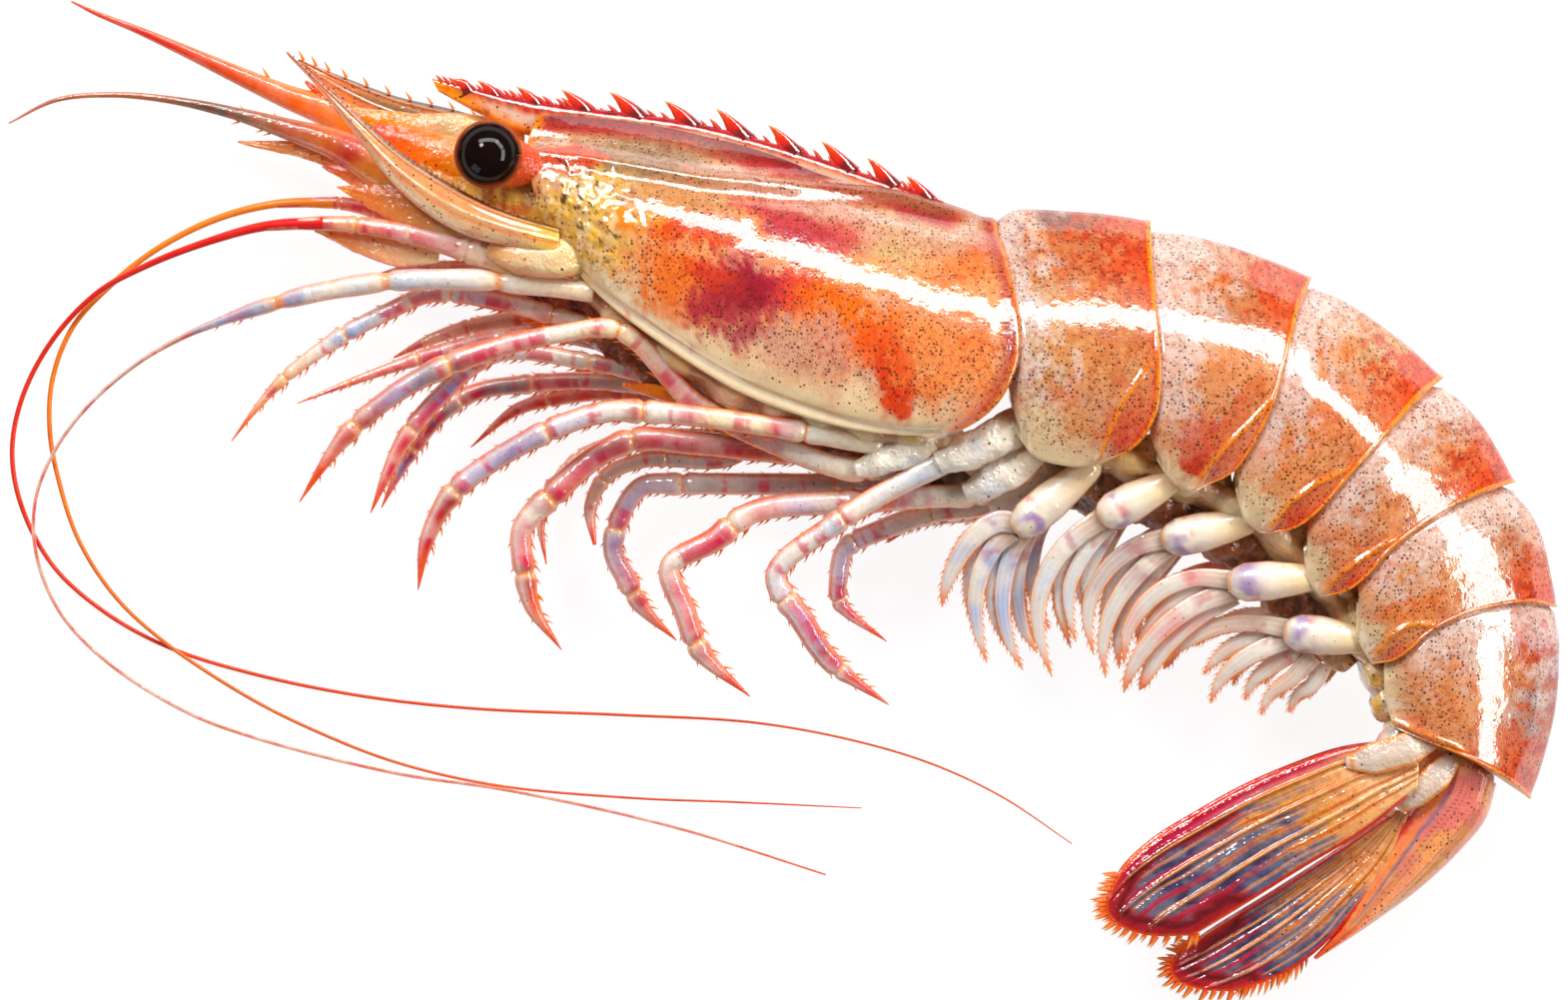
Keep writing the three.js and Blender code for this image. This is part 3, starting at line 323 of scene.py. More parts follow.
class Finish(Wiring):
    # a material under construction
    def __init__(self, name):
        self.material = bpy.data.materials.new(name)
        self.material.use_nodes = True
        super().__init__(self.material.node_tree)
        self.shader = self.tree.nodes["Principled BSDF"].inputs
        self.place = self.add("ShaderNodeTexCoord", {}, "Object")

    def give(self, values):
        for name, value in values.items():
            self.shader[name].default_value = value

    def wet(self, look):
        self.give({
            "Roughness": look["roughness"], "Specular IOR Level": look["specular"],
            "Coat Weight": look["coat"], "Coat Roughness": look["coatRoughness"], "Coat IOR": look["coatIor"],
            "Subsurface Weight": look["glow"], "Subsurface Radius": (1.0, 0.45, 0.28),
            "Subsurface Scale": look["glowDepth"],
        })

    def feed(self, colour):
        self.tree.links.new(colour, self.shader["Base Color"])

    def mix(self, factor, first, second, way="MIX"):
        first, second = (c if isinstance(c, bpy.types.NodeSocket) else (*c, 1.0) for c in (first, second))
        return self.add("ShaderNodeMix", {0: factor, 6: first, 7: second}, 2, data_type="RGBA", blend_type=way)

    def noise(self, scale, detail=3.0, roughness=0.55):
        values = {"Scale": scale, "Detail": detail, "Roughness": roughness, "Vector": self.place}
        return self.add("ShaderNodeTexNoise", values, "Fac")

    def attribute(self, name, out):
        return self.add("ShaderNodeAttribute", {}, out, attribute_name=name)

    def split(self, colour):
        self.add("ShaderNodeSeparateColor", {0: colour})
        return self.tree.nodes[-1].outputs

    def clamp(self, value):
        return self.maths("MINIMUM", self.maths("MAXIMUM", value, 0.0), 1.0)

    def dots(self, density, scale, size):
        # round dots of uneven size: one to a cell, and only where the density lets them
        self.add("ShaderNodeTexVoronoi", {"Scale": scale, "Vector": self.place})
        cell = self.tree.nodes[-1].outputs
        chance = self.split(cell["Color"])
        reach = self.maths("MULTIPLY_ADD", chance[1], size, size * 0.6)
        edge = self.clamp(self.maths("MULTIPLY", self.maths("SUBTRACT", reach, cell["Distance"]), 9.0))
        return self.maths("MULTIPLY", edge, self.maths("LESS_THAN", chance[0], density))


def wetFinish(name, look):
    # painted ground, dark dots where the second mark asks for them, fine mottling and a wet surface
    wet = Finish(name)
    colour = wet.attribute("ground", "Color")
    marks = wet.split(wet.attribute("marks", "Color"))
    mottle = wet.noise(look["mottleScale"], 4.0, 0.65)
    shade = wet.maths("MULTIPLY_ADD", mottle, look["mottle"] * 2, 1 - look["mottle"])
    grey = wet.add("ShaderNodeCombineColor", {0: shade, 1: shade, 2: shade})
    colour = wet.mix(1.0, colour, grey, "MULTIPLY")
    cloud = wet.noise(look["stainScale"], 5.0, 0.7)
    stained = wet.clamp(wet.maths("MULTIPLY", wet.maths("SUBTRACT", cloud, 0.47), 7.0))
    stained = wet.maths("MULTIPLY", stained, marks[0])
    colour = wet.mix(stained, colour, wet.mix(1.0, colour, look["stainTone"], "MULTIPLY"))
    coarse = wet.dots(marks[1], look["dotScale"], look["dotSize"])
    fine = wet.dots(marks[1], look["dotScale"] * 1.7, look["dotSize"] * 0.9)
    speckle = wet.maths("MAXIMUM", coarse, wet.maths("MULTIPLY", fine, 0.7))
    wet.feed(wet.mix(wet.maths("MULTIPLY", speckle, 0.86), colour, look["dotTone"]))
    wet.wet(look)
    soft, sharp = wet.noise(look["dentScale"], 3.0, 0.5), wet.noise(look["dentScale"] * 5, 2.0, 0.5)
    height = wet.maths("MULTIPLY_ADD", speckle, -0.05, wet.maths("MULTIPLY_ADD", sharp, 0.42, soft))
    dent = wet.add("ShaderNodeBump", {
        "Strength": look["dent"], "Distance": look["dentDepth"], "Height": height,
    })
    for name in ("Normal", "Coat Normal"):
        wet.tree.links.new(dent, wet.shader[name])
    return wet.material


shellLook = {
    "specular": 0.08, "roughness": 0.24, "coat": 1.0, "coatRoughness": 0.03, "coatIor": 1.92, "glow": 0.2,
    "glowDepth": 0.0012,
    "mottleScale": 900, "mottle": 0.16, "dotScale": 2900, "dotSize": 0.3, "dotTone": tone(80, 28, 8),
    "stainScale": 1500, "stainTone": (0.80, 0.52, 0.40), "dentScale": 200, "dent": 0.15, "dentDepth": 0.0006,
}
limbLook = dict(
    shellLook, roughness=0.2, coatIor=1.7, glow=0.35, dotScale=2300, dotSize=0.16, mottle=0.08, dentScale=420,
    dent=0.2,
)
finLook = dict(shellLook, glow=0.12, dotScale=2300, dotSize=0.22, mottle=0.14, dentScale=380, dent=0.3)
shellFinish = wetFinish("shellFinish", shellLook)
limbFinish = wetFinish("limbFinish", limbLook)
finFinish = wetFinish("finFinish", finLook)
fleshFinish = wetFinish("fleshFinish", dict(
    limbLook, glow=0.4, dotScale=1900, dotSize=0.24, dentScale=500, dent=0.6,
))
collarFinish = wetFinish("collarFinish", dict(
    limbLook, specular=0.1, coat=0.15, glow=0.0, roughness=0.5, dent=0.1,
))


def spineFinish(name, base, tip, look):
    # colour runs from the root of each spine to its tip
    spine = Finish(name)
    share = spine.maths("ADD", spine.attribute("reach", "Fac"), -0.25)
    share = spine.maths("MULTIPLY_ADD", spine.noise(500, 2.0), 0.5, share)
    spine.feed(spine.add("ShaderNodeValToRGB", {0: share}))
    ends = spine.tree.nodes[-1].color_ramp.elements
    ends[0].color, ends[1].color = (*base, 1.0), (*tip, 1.0)
    spine.wet(look)
    return spine.material


spineLook = {
    "specular": 0.15, "roughness": 0.4, "coat": 0.35, "coatRoughness": 0.1, "coatIor": 1.5, "glow": 0.1,
    "glowDepth": 0.0005,
}
bristleFinish = spineFinish("bristleFinish", tones["orange"], tones["amber"], spineLook)
darkBristleFinish = spineFinish("darkBristleFinish", tones["darkBrown"], tones["brown"], spineLook)
fringeFinish = spineFinish("fringeFinish", tones["flame"], tones["paleOrange"], spineLook)
redSpineFinish = spineFinish("redSpineFinish", tones["crimson"], tones["flame"], spineLook)
redWhipFinish = spineFinish("redWhipFinish", tone(226, 24, 26), tone(228, 92, 34), spineLook)
orangeWhipFinish = spineFinish("orangeWhipFinish", tone(242, 138, 34), tone(214, 60, 36), spineLook)


eyeLook = {
    "specular": 0.0, "roughness": 0.3, "coat": 0.5, "coatRoughness": 0.02, "coatIor": 1.5, "glow": 0.0,
    "glowDepth": 0.001,
}
eyeSkin = Finish("eyeFinish")
eyeSkin.feed(eyeSkin.mix(eyeSkin.noise(700, 3.0), tone(8, 3, 3), tone(26, 10, 6)))
eyeSkin.wet(eyeLook)
eyeFinish = eyeSkin.material

# Geometry Nodes: spines on points, and tapering whips on paths


class Tree(Wiring):
    # a geometry tree with named inputs
    def __init__(self, name, sockets):
        tree = bpy.data.node_groups.new(name, "GeometryNodeTree")
        super().__init__(tree)
        tree.interface.new_socket(name="Geometry", in_out="INPUT", socket_type="NodeSocketGeometry")
        tree.interface.new_socket(name="Geometry", in_out="OUTPUT", socket_type="NodeSocketGeometry")
        for socket, kind in sockets.items():
            tree.interface.new_socket(name=socket, in_out="INPUT", socket_type="NodeSocket" + kind)
        self.given = tree.nodes.new("NodeGroupInput").outputs

    def read(self, name, kind):
        self.add("GeometryNodeInputNamedAttribute", {"Name": name}, data_type=kind)
        return next(s for s in self.tree.nodes[-1].outputs if s.enabled and s.name == "Attribute")

    def storeReach(self, geometry, value):
        stored = self.add(
            "GeometryNodeStoreNamedAttribute", {"Name": "reach", "Geometry": geometry}, data_type="FLOAT",
            domain="POINT",
        )
        inputs = self.tree.nodes[-1].inputs
        self.tree.links.new(value, next(s for s in inputs if s.enabled and s.name == "Value"))
        return stored

    def sweep(self, curve, girth, reach):
        # a round tube along a curve, marked with how far along it each point is
        thick = self.add("GeometryNodeSetCurveRadius", {"Curve": curve, "Radius": girth})
        ring = self.add("GeometryNodeCurvePrimitiveCircle", {"Resolution": self.given["Sides"], "Radius": 1.0})
        return self.add("GeometryNodeCurveToMesh", {
            "Curve": self.storeReach(thick, reach), "Profile Curve": ring, "Scale": girth, "Fill Caps": True,
        })

    def finish(self, geometry):
        real = self.add("GeometryNodeRealizeInstances", {0: geometry})
        done = self.add("GeometryNodeSetMaterial", {"Geometry": real, "Material": self.given["Material"]})
        self.tree.links.new(done, self.tree.nodes.new("NodeGroupOutput").inputs[0])
        return self.tree


def spineTree():
    tree = Tree("spineTree", {
        "Length": "Float", "Girth": "Float", "Hook": "Float", "Sides": "Int", "Steps": "Int",
        "Material": "Material",
    })
    given = tree.given
    middle = tree.add("ShaderNodeCombineXYZ", {"Z": tree.maths("MULTIPLY", given["Length"], 0.55)})
    end = tree.add("ShaderNodeCombineXYZ", {"Z": given["Length"], "X": given["Hook"]})
    arc = tree.add("GeometryNodeCurveQuadraticBezier", {
        "Resolution": given["Steps"], "Start": (0, 0, 0), "Middle": middle, "End": end,
    })
    factor = tree.add("GeometryNodeSplineParameter", {}, "Factor")
    taper = tree.maths("POWER", tree.maths("SUBTRACT", 1.02, factor), 0.75)
    spine = tree.sweep(arc, tree.maths("MULTIPLY", taper, given["Girth"]), factor)
    aim = tree.add("FunctionNodeAlignRotationToVector", {"Vector": tree.read("aim", "FLOAT_VECTOR")}, axis="Z")
    lean = tree.add("FunctionNodeAlignRotationToVector", {
        "Rotation": aim, "Vector": tree.read("lean", "FLOAT_VECTOR"),
    }, axis="X", pivot_axis="Z")
    return tree.finish(tree.add("GeometryNodeInstanceOnPoints", {
        "Points": given["Geometry"], "Instance": spine, "Rotation": lean,
        "Scale": tree.read("size", "FLOAT_VECTOR"),
    }))


def whipTree():
    tree = Tree("whipTree", {"Girth": "Float", "Sides": "Int", "Material": "Material"})
    curve = tree.add("GeometryNodeMeshToCurve", {"Mesh": tree.given["Geometry"]})
    girth = tree.maths("MULTIPLY", tree.read("girth", "FLOAT"), tree.given["Girth"])
    return tree.finish(tree.sweep(curve, girth, tree.add("GeometryNodeSplineParameter", {}, "Factor")))


def runTree(piece, tree, values):
    modifier = piece.modifiers.new(tree.name, "NODES")
    modifier.node_group = tree
    for item in tree.interface.items_tree:
        if item.in_out == "INPUT" and item.name in values:
            modifier[item.identifier] = values[item.name]
    graph = bpy.context.evaluated_depsgraph_get()
    made = bpy.data.meshes.new_from_object(piece.evaluated_get(graph))
    piece.modifiers.remove(modifier)
    piece.data = made
    made.polygons.foreach_set("use_smooth", [True] * len(made.polygons))


spines = spineTree()
whips = whipTree()


def addSpines(name, rows, look, material):
    # rows hold point, aim, lean and size for each spine
    layers = {
        layer: ("FLOAT_VECTOR", "vector", [np.ones(3) * r[k] for r in rows])
        for layer, k in (("aim", 1), ("lean", 2), ("size", 3))
    }
    piece = newPiece(name, np.array([r[0] for r in rows]), [], [], layers)
    runTree(piece, spines, {
        "Length": look["length"] * mm, "Girth": look["girth"] * mm, "Hook": look["hook"] * mm,
        "Sides": look["sides"], "Steps": look["steps"], "Material": material,
    })
    finishPiece(piece)


def addWhip(name, places, count, sides, material, nodes=()):
    points, radius, run = evenPath(places, count)
    radius = radius * np.interp(run / run[-1], [0, 0.3, 0.55, 1], [1.0, 1.0, 0.78, 0.6])
    edges = [(i, i + 1) for i in range(count - 1)]
    piece = newPiece(name, points, edges, [], {"girth": ("FLOAT", "value", radius * mm)})
    runTree(piece, whips, {"Girth": 1.0, "Sides": sides, "Material": material})
    finishPiece(piece, nodes)


# shell plates

headHalfWidth, tailHalfWidth, restDepth = 9.9, 6.3, 0.35
fullest = 0.6


def flank(t):
    low = np.sin(np.pi / 2 * np.clip(t / fullest, 0, 1)) ** 0.85
    return np.where(t < fullest, low, 1 - 0.24 * ((t - fullest) / (1 - fullest)) ** 2)


def plateRings(outlines, halfWidths, plane, channel, lip, uCount, tCount):
    u = unit(uCount)
    t = unit(tCount + 1)
    place = patch(outlines, u, t)
    half = level(u, halfWidths)[:, None]
    middle = np.full_like(half, plane) if plane is not None else half - restDepth
    out = half * flank(t)[None]
    near, far = place.copy(), place.copy()
    near[..., 2] = middle + out
    far[..., 2] = np.maximum(middle - out, 0.0)
    inside = half * (1 - 0.24) - lip
    roof = patch(outlines, u, np.array([0.0, 1 - channel]))[:, 1]
    lowest = place[:, -1]
    hollow = [
        np.column_stack([lowest[:, :2], middle + inside]),
        np.column_stack([roof[:, :2], middle + inside - 0.4]),
        np.column_stack([roof[:, :2], middle - inside + 0.4]),
        np.column_stack([lowest[:, :2], np.maximum(middle - inside, 0)]),
    ]
    rings = np.concatenate([near, np.stack(hollow, 1), far[:, :0:-1]], axis=1)
    share = np.concatenate([t, [1, 1 - channel, 1 - channel, 1], t[:0:-1]])
    return rings, np.broadcast_to(u[:, None], rings.shape[:2]), np.broadcast_to(share[None], rings.shape[:2])


shellBlobs = [
    # x, y, half length, half width, turn, tone, strength
    (-20.5, 28, 6.5, 5.5, 0, "yolk", 0.9), (-11.5, 30.4, 8, 2.4, -10, "tan", 0.85),
    (-13.5, 27.6, 4.2, 1.8, 0, "amber", 0.9), (-8.5, 27, 5, 1.8, 0, "ember", 0.8),
    (3.6, 27.9, 7.4, 3.6, -8, "rose", 1), (1.5, 27.2, 3.6, 1.8, 0, "berry", 0.5),
    (1, 31.6, 5.5, 1.6, -12, "pink", 0.7),
    (12.5, 26.5, 4.2, 4.2, 0, "sand", 0.8),
    (18.5, 26, 3.6, 4, 0, "rust", 0.6), (-11.5, 22.4, 4.4, 3.2, 0, "coral", 0.85),
    (-10.5, 20.6, 4, 3.4, 0, "orange", 0.6), (0.5, 21, 4.6, 2.6, -8, "red", 0.8),
    (5.8, 17.6, 5.6, 3.8, -35, "orange", 0.95), (9.2, 15.2, 3.2, 3, -40, "flame", 0.6),
    (11, 12.2, 2.1, 4.4, 8, "ember", 0.9), (-4.6, 20.2, 4.6, 4.6, -10, "berry", 0.8),
    (-4, 21, 2.8, 2.6, 0, "wine", 0.6), (-7.5, 22.6, 3, 1.4, -20, "ember", 0.5),
    (2.5, 15.2, 4.6, 3.6, 0, "greyPink", 0.6), (16, 17.5, 5.4, 7, 0, "coral", 0.55),
    (22.9, 17, 1, 4, 0, "crimson", 0.7),
    (30, 27.6, 6.4, 1.5, -3, "darkRed", 0.95), (30.5, 24.6, 6.4, 3, 0, "rust", 0.7),
    (26.5, 17, 3.6, 5.2, 0, "sand", 0.7), (31.5, 15.5, 5, 5, 0, "apricot", 0.6),
    (36.8, 15, 1.3, 6.5, 0, "red", 0.55), (34.5, 8, 2.4, 3.4, 0, "coralRed", 0.85),
    (26, 7.4, 2.4, 2.8, 0, "cream", 0.9),
    (41.5, 25, 4.8, 2.4, -15, "greyPink", 0.8), (50.3, 21, 3.4, 3.8, -30, "ember", 0.95),
    (46.5, 19, 5, 3.2, 0, "brown", 0.55), (43.5, 12, 6, 5, 0, "peach", 0.6),
    (44, 6.3, 5.2, 1.7, 56, "ember", 0.9), (41.2, 6, 1.8, 3, 0, "coralRed", 0.6),
    (61.5, 15, 4, 3, -40, "sand", 0.7), (64, 12.3, 3.4, 2.8, -45, "ember", 0.95),
    (55.5, 8, 4.2, 3.6, 0, "orange", 0.65), (53, -0.2, 5, 1.7, 40, "ember", 0.9),
    (47.5, -0.8, 2.4, 1.8, 0, "cream", 0.8),
    (68.5, 8, 3, 3, 0, "greyPink", 0.7), (70.6, 3.4, 3.2, 3, 0, "ember", 0.95),
    (63.5, 0, 5, 5, 0, "peach", 0.6), (58.5, -6, 4.6, 1.8, 28, "ember", 0.85),
    (53.5, -6.3, 2, 1.6, 0, "cream", 0.8),
    (66.5, -6, 5, 4, 0, "apricot", 0.6), (75, -8, 3, 3, 0, "ember", 0.95),
    (71.5, -3, 3, 2.4, 0, "greyPink", 0.6), (62.5, -11, 4, 1.3, 15, "orange", 0.7),
    (58, -13.5, 2, 1.6, 0, "cream", 0.8),
    (74.3, -22, 2.4, 4.4, 0, "mauve", 0.8), (75.5, -14, 3, 3, 0, "ember", 0.9),
    (77.6, -19, 1, 8, 0, "crimson", 0.9), (68.5, -18, 5, 6, 0, "peach", 0.6),
    (70.5, -25, 4, 2.4, 20, "coralRed", 0.7),
]

carapace = {
    "outlines": {
        "back": [[-24.5, 39.2], [-19, 38.7], [-9, 37.2], [1, 34.4], [11, 31.1], [21.3, 27.8]],
        "rear": [
            [21.3, 27.8], [22.2, 24.5], [23.1, 20.5], [23.6, 16.5],
            [23.1, 13], [21.3, 9.6], [18, 7.1], [14.5, 6.3],
        ],
        "edge": [[-21.2, 23.5], [-18, 20], [-14, 16.8], [-5, 11], [1, 8.6], [7, 7], [14.5, 6.3]],
        "front": [[-24.5, 39.2], [-25.7, 35.5], [-25.3, 32], [-24, 28], [-21.2, 23.5]],
    },
    "halfWidths": [4.6, 6.8, 8.4, 9.4, 9.9, 9.9, 9.5],
    "ridge": [(-24.5, 34.6), (-18.5, 34), (-8.5, 32.3), (-0.5, 31.6), (11.5, 30.6), (21.5, 28.2)],
    "sideGroove": [(-17, 24.5), (-12, 23.6), (-6, 25), (-2, 27.6), (0, 30)],
    "crestLine": [(-28, 40), (-19, 38.9), (-9, 37.4), (1, 34.6), (11, 31.2), (16, 29.6)],
}


def speckleDensity(points, share, seed):
    patchy = 0.95 + 0.9 * grain(points, 2.6, 3, seed)
    return np.clip(patchy * ease(0.9, 0.72, share), 0, 1)


def stainAmount(points, share, seed):
    return np.clip(0.75 + 0.7 * grain(points, 6, 2, seed), 0, 1) * ease(0.9, 0.72, share)


def shellGround(points, share, seed):
    drift = 0.25 + 0.9 * grain(points, 6, 3, seed)
    colour = coats(plain("peach", points), [
        ("greyPink", drift),
        ("orange", 0.45 * ease(0.1, 0.45, grain(points, 4, 3, seed + 3))),
        ("cream", ease(0.68, 0.92, share + 0.1 * grain(points, 3, 2, seed))),
    ])
    return paintBlobs(colour, points, shellBlobs, seed)


def addCarapace():
    rings, u, t = plateRings(
        carapace["outlines"], carapace["halfWidths"], eye["plane"], 0.13, 1.0, 190, 84
    )
    normals = ringNormals(rings)
    ridge = nearLine(rings, carapace["ridge"])
    groove = nearLine(rings, carapace["sideGroove"])
    upper = ease(0.5, 0.1, t)
    bumpy = ease(1.3, 0.4, np.hypot((rings[..., 0] + 20) / 6.5, (rings[..., 1] - 28) / 7)) * ease(0.95, 0.8, t)
    height = 0.32 * bump(0, 0.6, ridge) - 0.35 * bump(1.6, 0.8, ridge) * upper
    height += -0.07 * bump(0, 1.2, groove)
    height += 0.2 * bump(0.985, 0.012, t) - 0.14 * bump(0.945, 0.02, t)
    height += 0.16 * bump(0.99, 0.008, u) - 0.1 * bump(0.965, 0.012, u)
    wrinkles = 0.5 - np.abs(grain(rings, 2.0, 2, 3)) * 3
    height += bumpy * (0.17 * np.clip(wrinkles, -0.5, 0.5) + 0.07 * grain(rings, 1.1, 2, 4))
    height += 0.07 * grain(rings, 8, 2, 11) + 0.012 * grain(rings, 2.2, 2, 5)
    hidden = (t > 0.999) | ((np.arange(t.shape[1]) > 84) & (np.arange(t.shape[1]) < 89))[None]
    rings = rings + normals * np.where(hidden, 0, height)[..., None]
    rings[..., 2] = np.maximum(rings[..., 2], 0)
    colour = shellGround(rings, t, 1.0)
    crestBand = nearLine(rings, carapace["crestLine"])
    rough = 0.5 * grain(rings, 2.5, 3, 9)
    olive = ease(1.3, 0.5, np.hypot((rings[..., 0] + 15) / 8, (rings[..., 1] - 34.3) / 2.6) + rough)
    cheek = np.hypot((rings[..., 0] + 21.5) / 3.2, (rings[..., 1] - 34.2) / 1.5) + rough
    colour = coats(colour, [
        ("tan", 0.75 * bump(3.2, 1.6, crestBand + rough)),
        ("greyPink", 0.5 * bump(4.6, 0.8, crestBand + rough)),
        # Painted highlight: a thin pale glassy line just beyond the crimson crest band stands in for a
        # reflection.
        ("glass", 0.6 * bump(3.4, 0.5, crestBand + 0.5 * rough)),
        ("crimson", 0.9 * ease(3.0, 2.0, crestBand + rough)),
        ("darkRed", 0.8 * ease(2.2, 0.8, crestBand + rough)),
        ("brown", 0.7 * bump(0.4, 0.5, ridge + 0.4 * rough)),
        ("crimson", 0.7 * bump(0.985, 0.014, u) * ease(0.95, 0.85, t)),
        ("amber", 0.8 * bump(0.999, 0.008, u)),
        ("milk", 0.5 * bump(0.955, 0.012, t)),
        ("apricot", 0.5 * bump(0.93, 0.008, t) + 0.35 * bump(1.0, 0.008, t)),
        (tone(150, 120, 84), 0.75 * olive),
        ("yolk", 0.75 * bumpy * ease(-0.1, 0.3, grain(rings, 1.8, 2, 41))),
        ("sand", 0.6 * bumpy * ease(0.1, 0.4, grain(rings, 2.6, 2, 31))),
        ("cream", 0.7 * bumpy * ease(0.2, 0.4, grain(rings, 1.1, 2, 51))),
        ("ember", 0.85 * ease(1.2, 0.6, cheek)),
        ("black", 0.9 * bumpy * ease(0.42, 0.5, grain(rings, 0.8, 2, 21))),
        ("amber", 0.85 * ease(0.05, 0.0, u + 0.02 * rough) * ease(0.5, 0.2, t)),
    ])
    dotty = speckleDensity(rings, t, 2.0) * (1 - 0.8 * bumpy)
    coat = skin(colour, stainAmount(rings, t, 3.0), dotty)
    addSolids("carapaceShell", [(rings, coat)], shellFinish, ["carapace"])


rostrum = {
    "top": [
        [-35.3, 42.2], [-30, 41], [-24.5, 39.9], [-19, 39.2], [-9, 37.8], [1, 35.1], [11, 31.7], [16, 29.9],
    ],
    "underside": [
        [-34.6, 40.9], [-30, 38.4], [-25.2, 36.4], [-19, 36.6], [-9, 35.4], [1, 32.4], [11, 29.2], [16, 28.4],
    ],
    "thickness": 1.25,
    # tip of each tooth
    "teeth": [
        (-33.4, 42.2), (-30.7, 42), (-26.8, 41.4), (-22.3, 41.1), (-17.5, 40.9), (-12, 40),
        (-6.8, 39.2), (-1.6, 37.6), (3.7, 36), (8.3, 34.3), (12.2, 32.5),
    ],
}


def addRostrum():
    count, sides = 150, 20
    u = unit(count)
    top, low = along(rostrum["top"], u), along(rostrum["underside"], u)
    angle = circle(sides)
    share = (0.5 - 0.5 * np.cos(angle))[None, :, None]
    rings = top[:, None] * (1 - share) + low[:, None] * share
    thick = rostrum["thickness"] / 2 * (0.35 + 0.65 * ease(0, 0.25, u)) * (1 - 0.5 * ease(0.8, 1, u))
    side = np.sin(angle)[None] * thick[:, None] * (1 + 0.5 * share[..., 0])
    rings[..., 2] = eye["plane"] + side
    groove = bump(0.62, 0.1, np.broadcast_to(share[..., 0], side.shape)) * np.sign(side)
    rings[..., 2] -= 0.2 * groove * ease(0.5, 0.3, u)[:, None]
    depth = np.broadcast_to(share[..., 0], side.shape)
    share = np.broadcast_to(u[:, None], depth.shape)
    flecks = grain(rings, 1.2, 3, 4)
    colour = coats(plain("amber", rings), [
        ("orange", 0.7 * ease(-0.2, 0.4, flecks)),
        ("glass", 0.9 * ease(0.08, 0.2, share) * bump(0.55, 0.17, depth + 0.12 * flecks)),
        ("greyPink", 0.9 * ease(0.3, 0.42, share) * ease(0.4, 0.6, depth)),
        ("crimson", 0.95 * ease(0.42, 0.26, depth + 0.12 * flecks) * ease(0.02, 0.1, share)),
        ("darkRed", 0.7 * ease(0.1, 0.5, flecks) * ease(0.5, 0.3, depth)),
        ("darkBrown", 0.6 * ease(0.3, 0.5, flecks) * ease(0.6, 0.8, depth)),
    ])
    solids = [(rings, skin(colour, 0.0, 0.15))]
    ridgeTop = along(rostrum["top"], unit(400))
    z = eye["plane"]
    for k, tip in enumerate(rostrum["teeth"]):
        # a tooth rises from the ridge a little behind its tip and leans forward
        rise = max(tip[1] - ridgeTop[np.abs(ridgeTop[:, 0] - tip[0]).argmin(), 1], 0.9)
        root = ridgeTop[np.abs(ridgeTop[:, 0] - tip[0] - 0.95 * rise - 0.3).argmin()]
        places = [
            (root[0] + 0.5, root[1] - 0.9, z, 0.5 * rise + 0.6), (root[0], root[1] + 0.1, z, 0.36 * rise + 0.3),
            (root[0] * 0.45 + tip[0] * 0.55 + 0.1, root[1] * 0.4 + tip[1] * 0.6, z, 0.17 * rise + 0.12),
            (tip[0], tip[1], z, 0.03),
        ]
        tooth, facts = tube(places, 18, 10, flat=0.42)
        reach = facts["grid"]
        paint = coats(plain("darkRed", tooth), [
            ("red", ease(0.2, 0.4, reach)),
            ("flame", 0.8 * ease(0.4, 0.75, reach)),
            ("crimson", 0.4 * ease(0.1, 0.5, grain(tooth, 0.7, 2, k))),
            ("paleOrange", 0.9 * ease(0.8, 1.0, reach)),
        ])
        solids.append((tooth, skin(paint)))
    addSolids("rostrumCrest", solids, shellFinish)
    rows = []
    for share in np.linspace(0.03, 0.985, 54):
        point, ahead = station(rostrum["top"], share, 0.01)
        up = np.array([-ahead[1], ahead[0], 0])
        size = 1.0 + 0.8 * noise.noise((share * 37, 2, 1))
        rows.append((point + [0, 0, eye["plane"]] - 0.2 * up, up - 0.9 * ahead, -ahead, size))
    addSpines("rostrumDenticles", rows, {
        "length": 1.1, "girth": 0.3, "hook": 0.2, "sides": 6, "steps": 4,
    }, redSpineFinish)


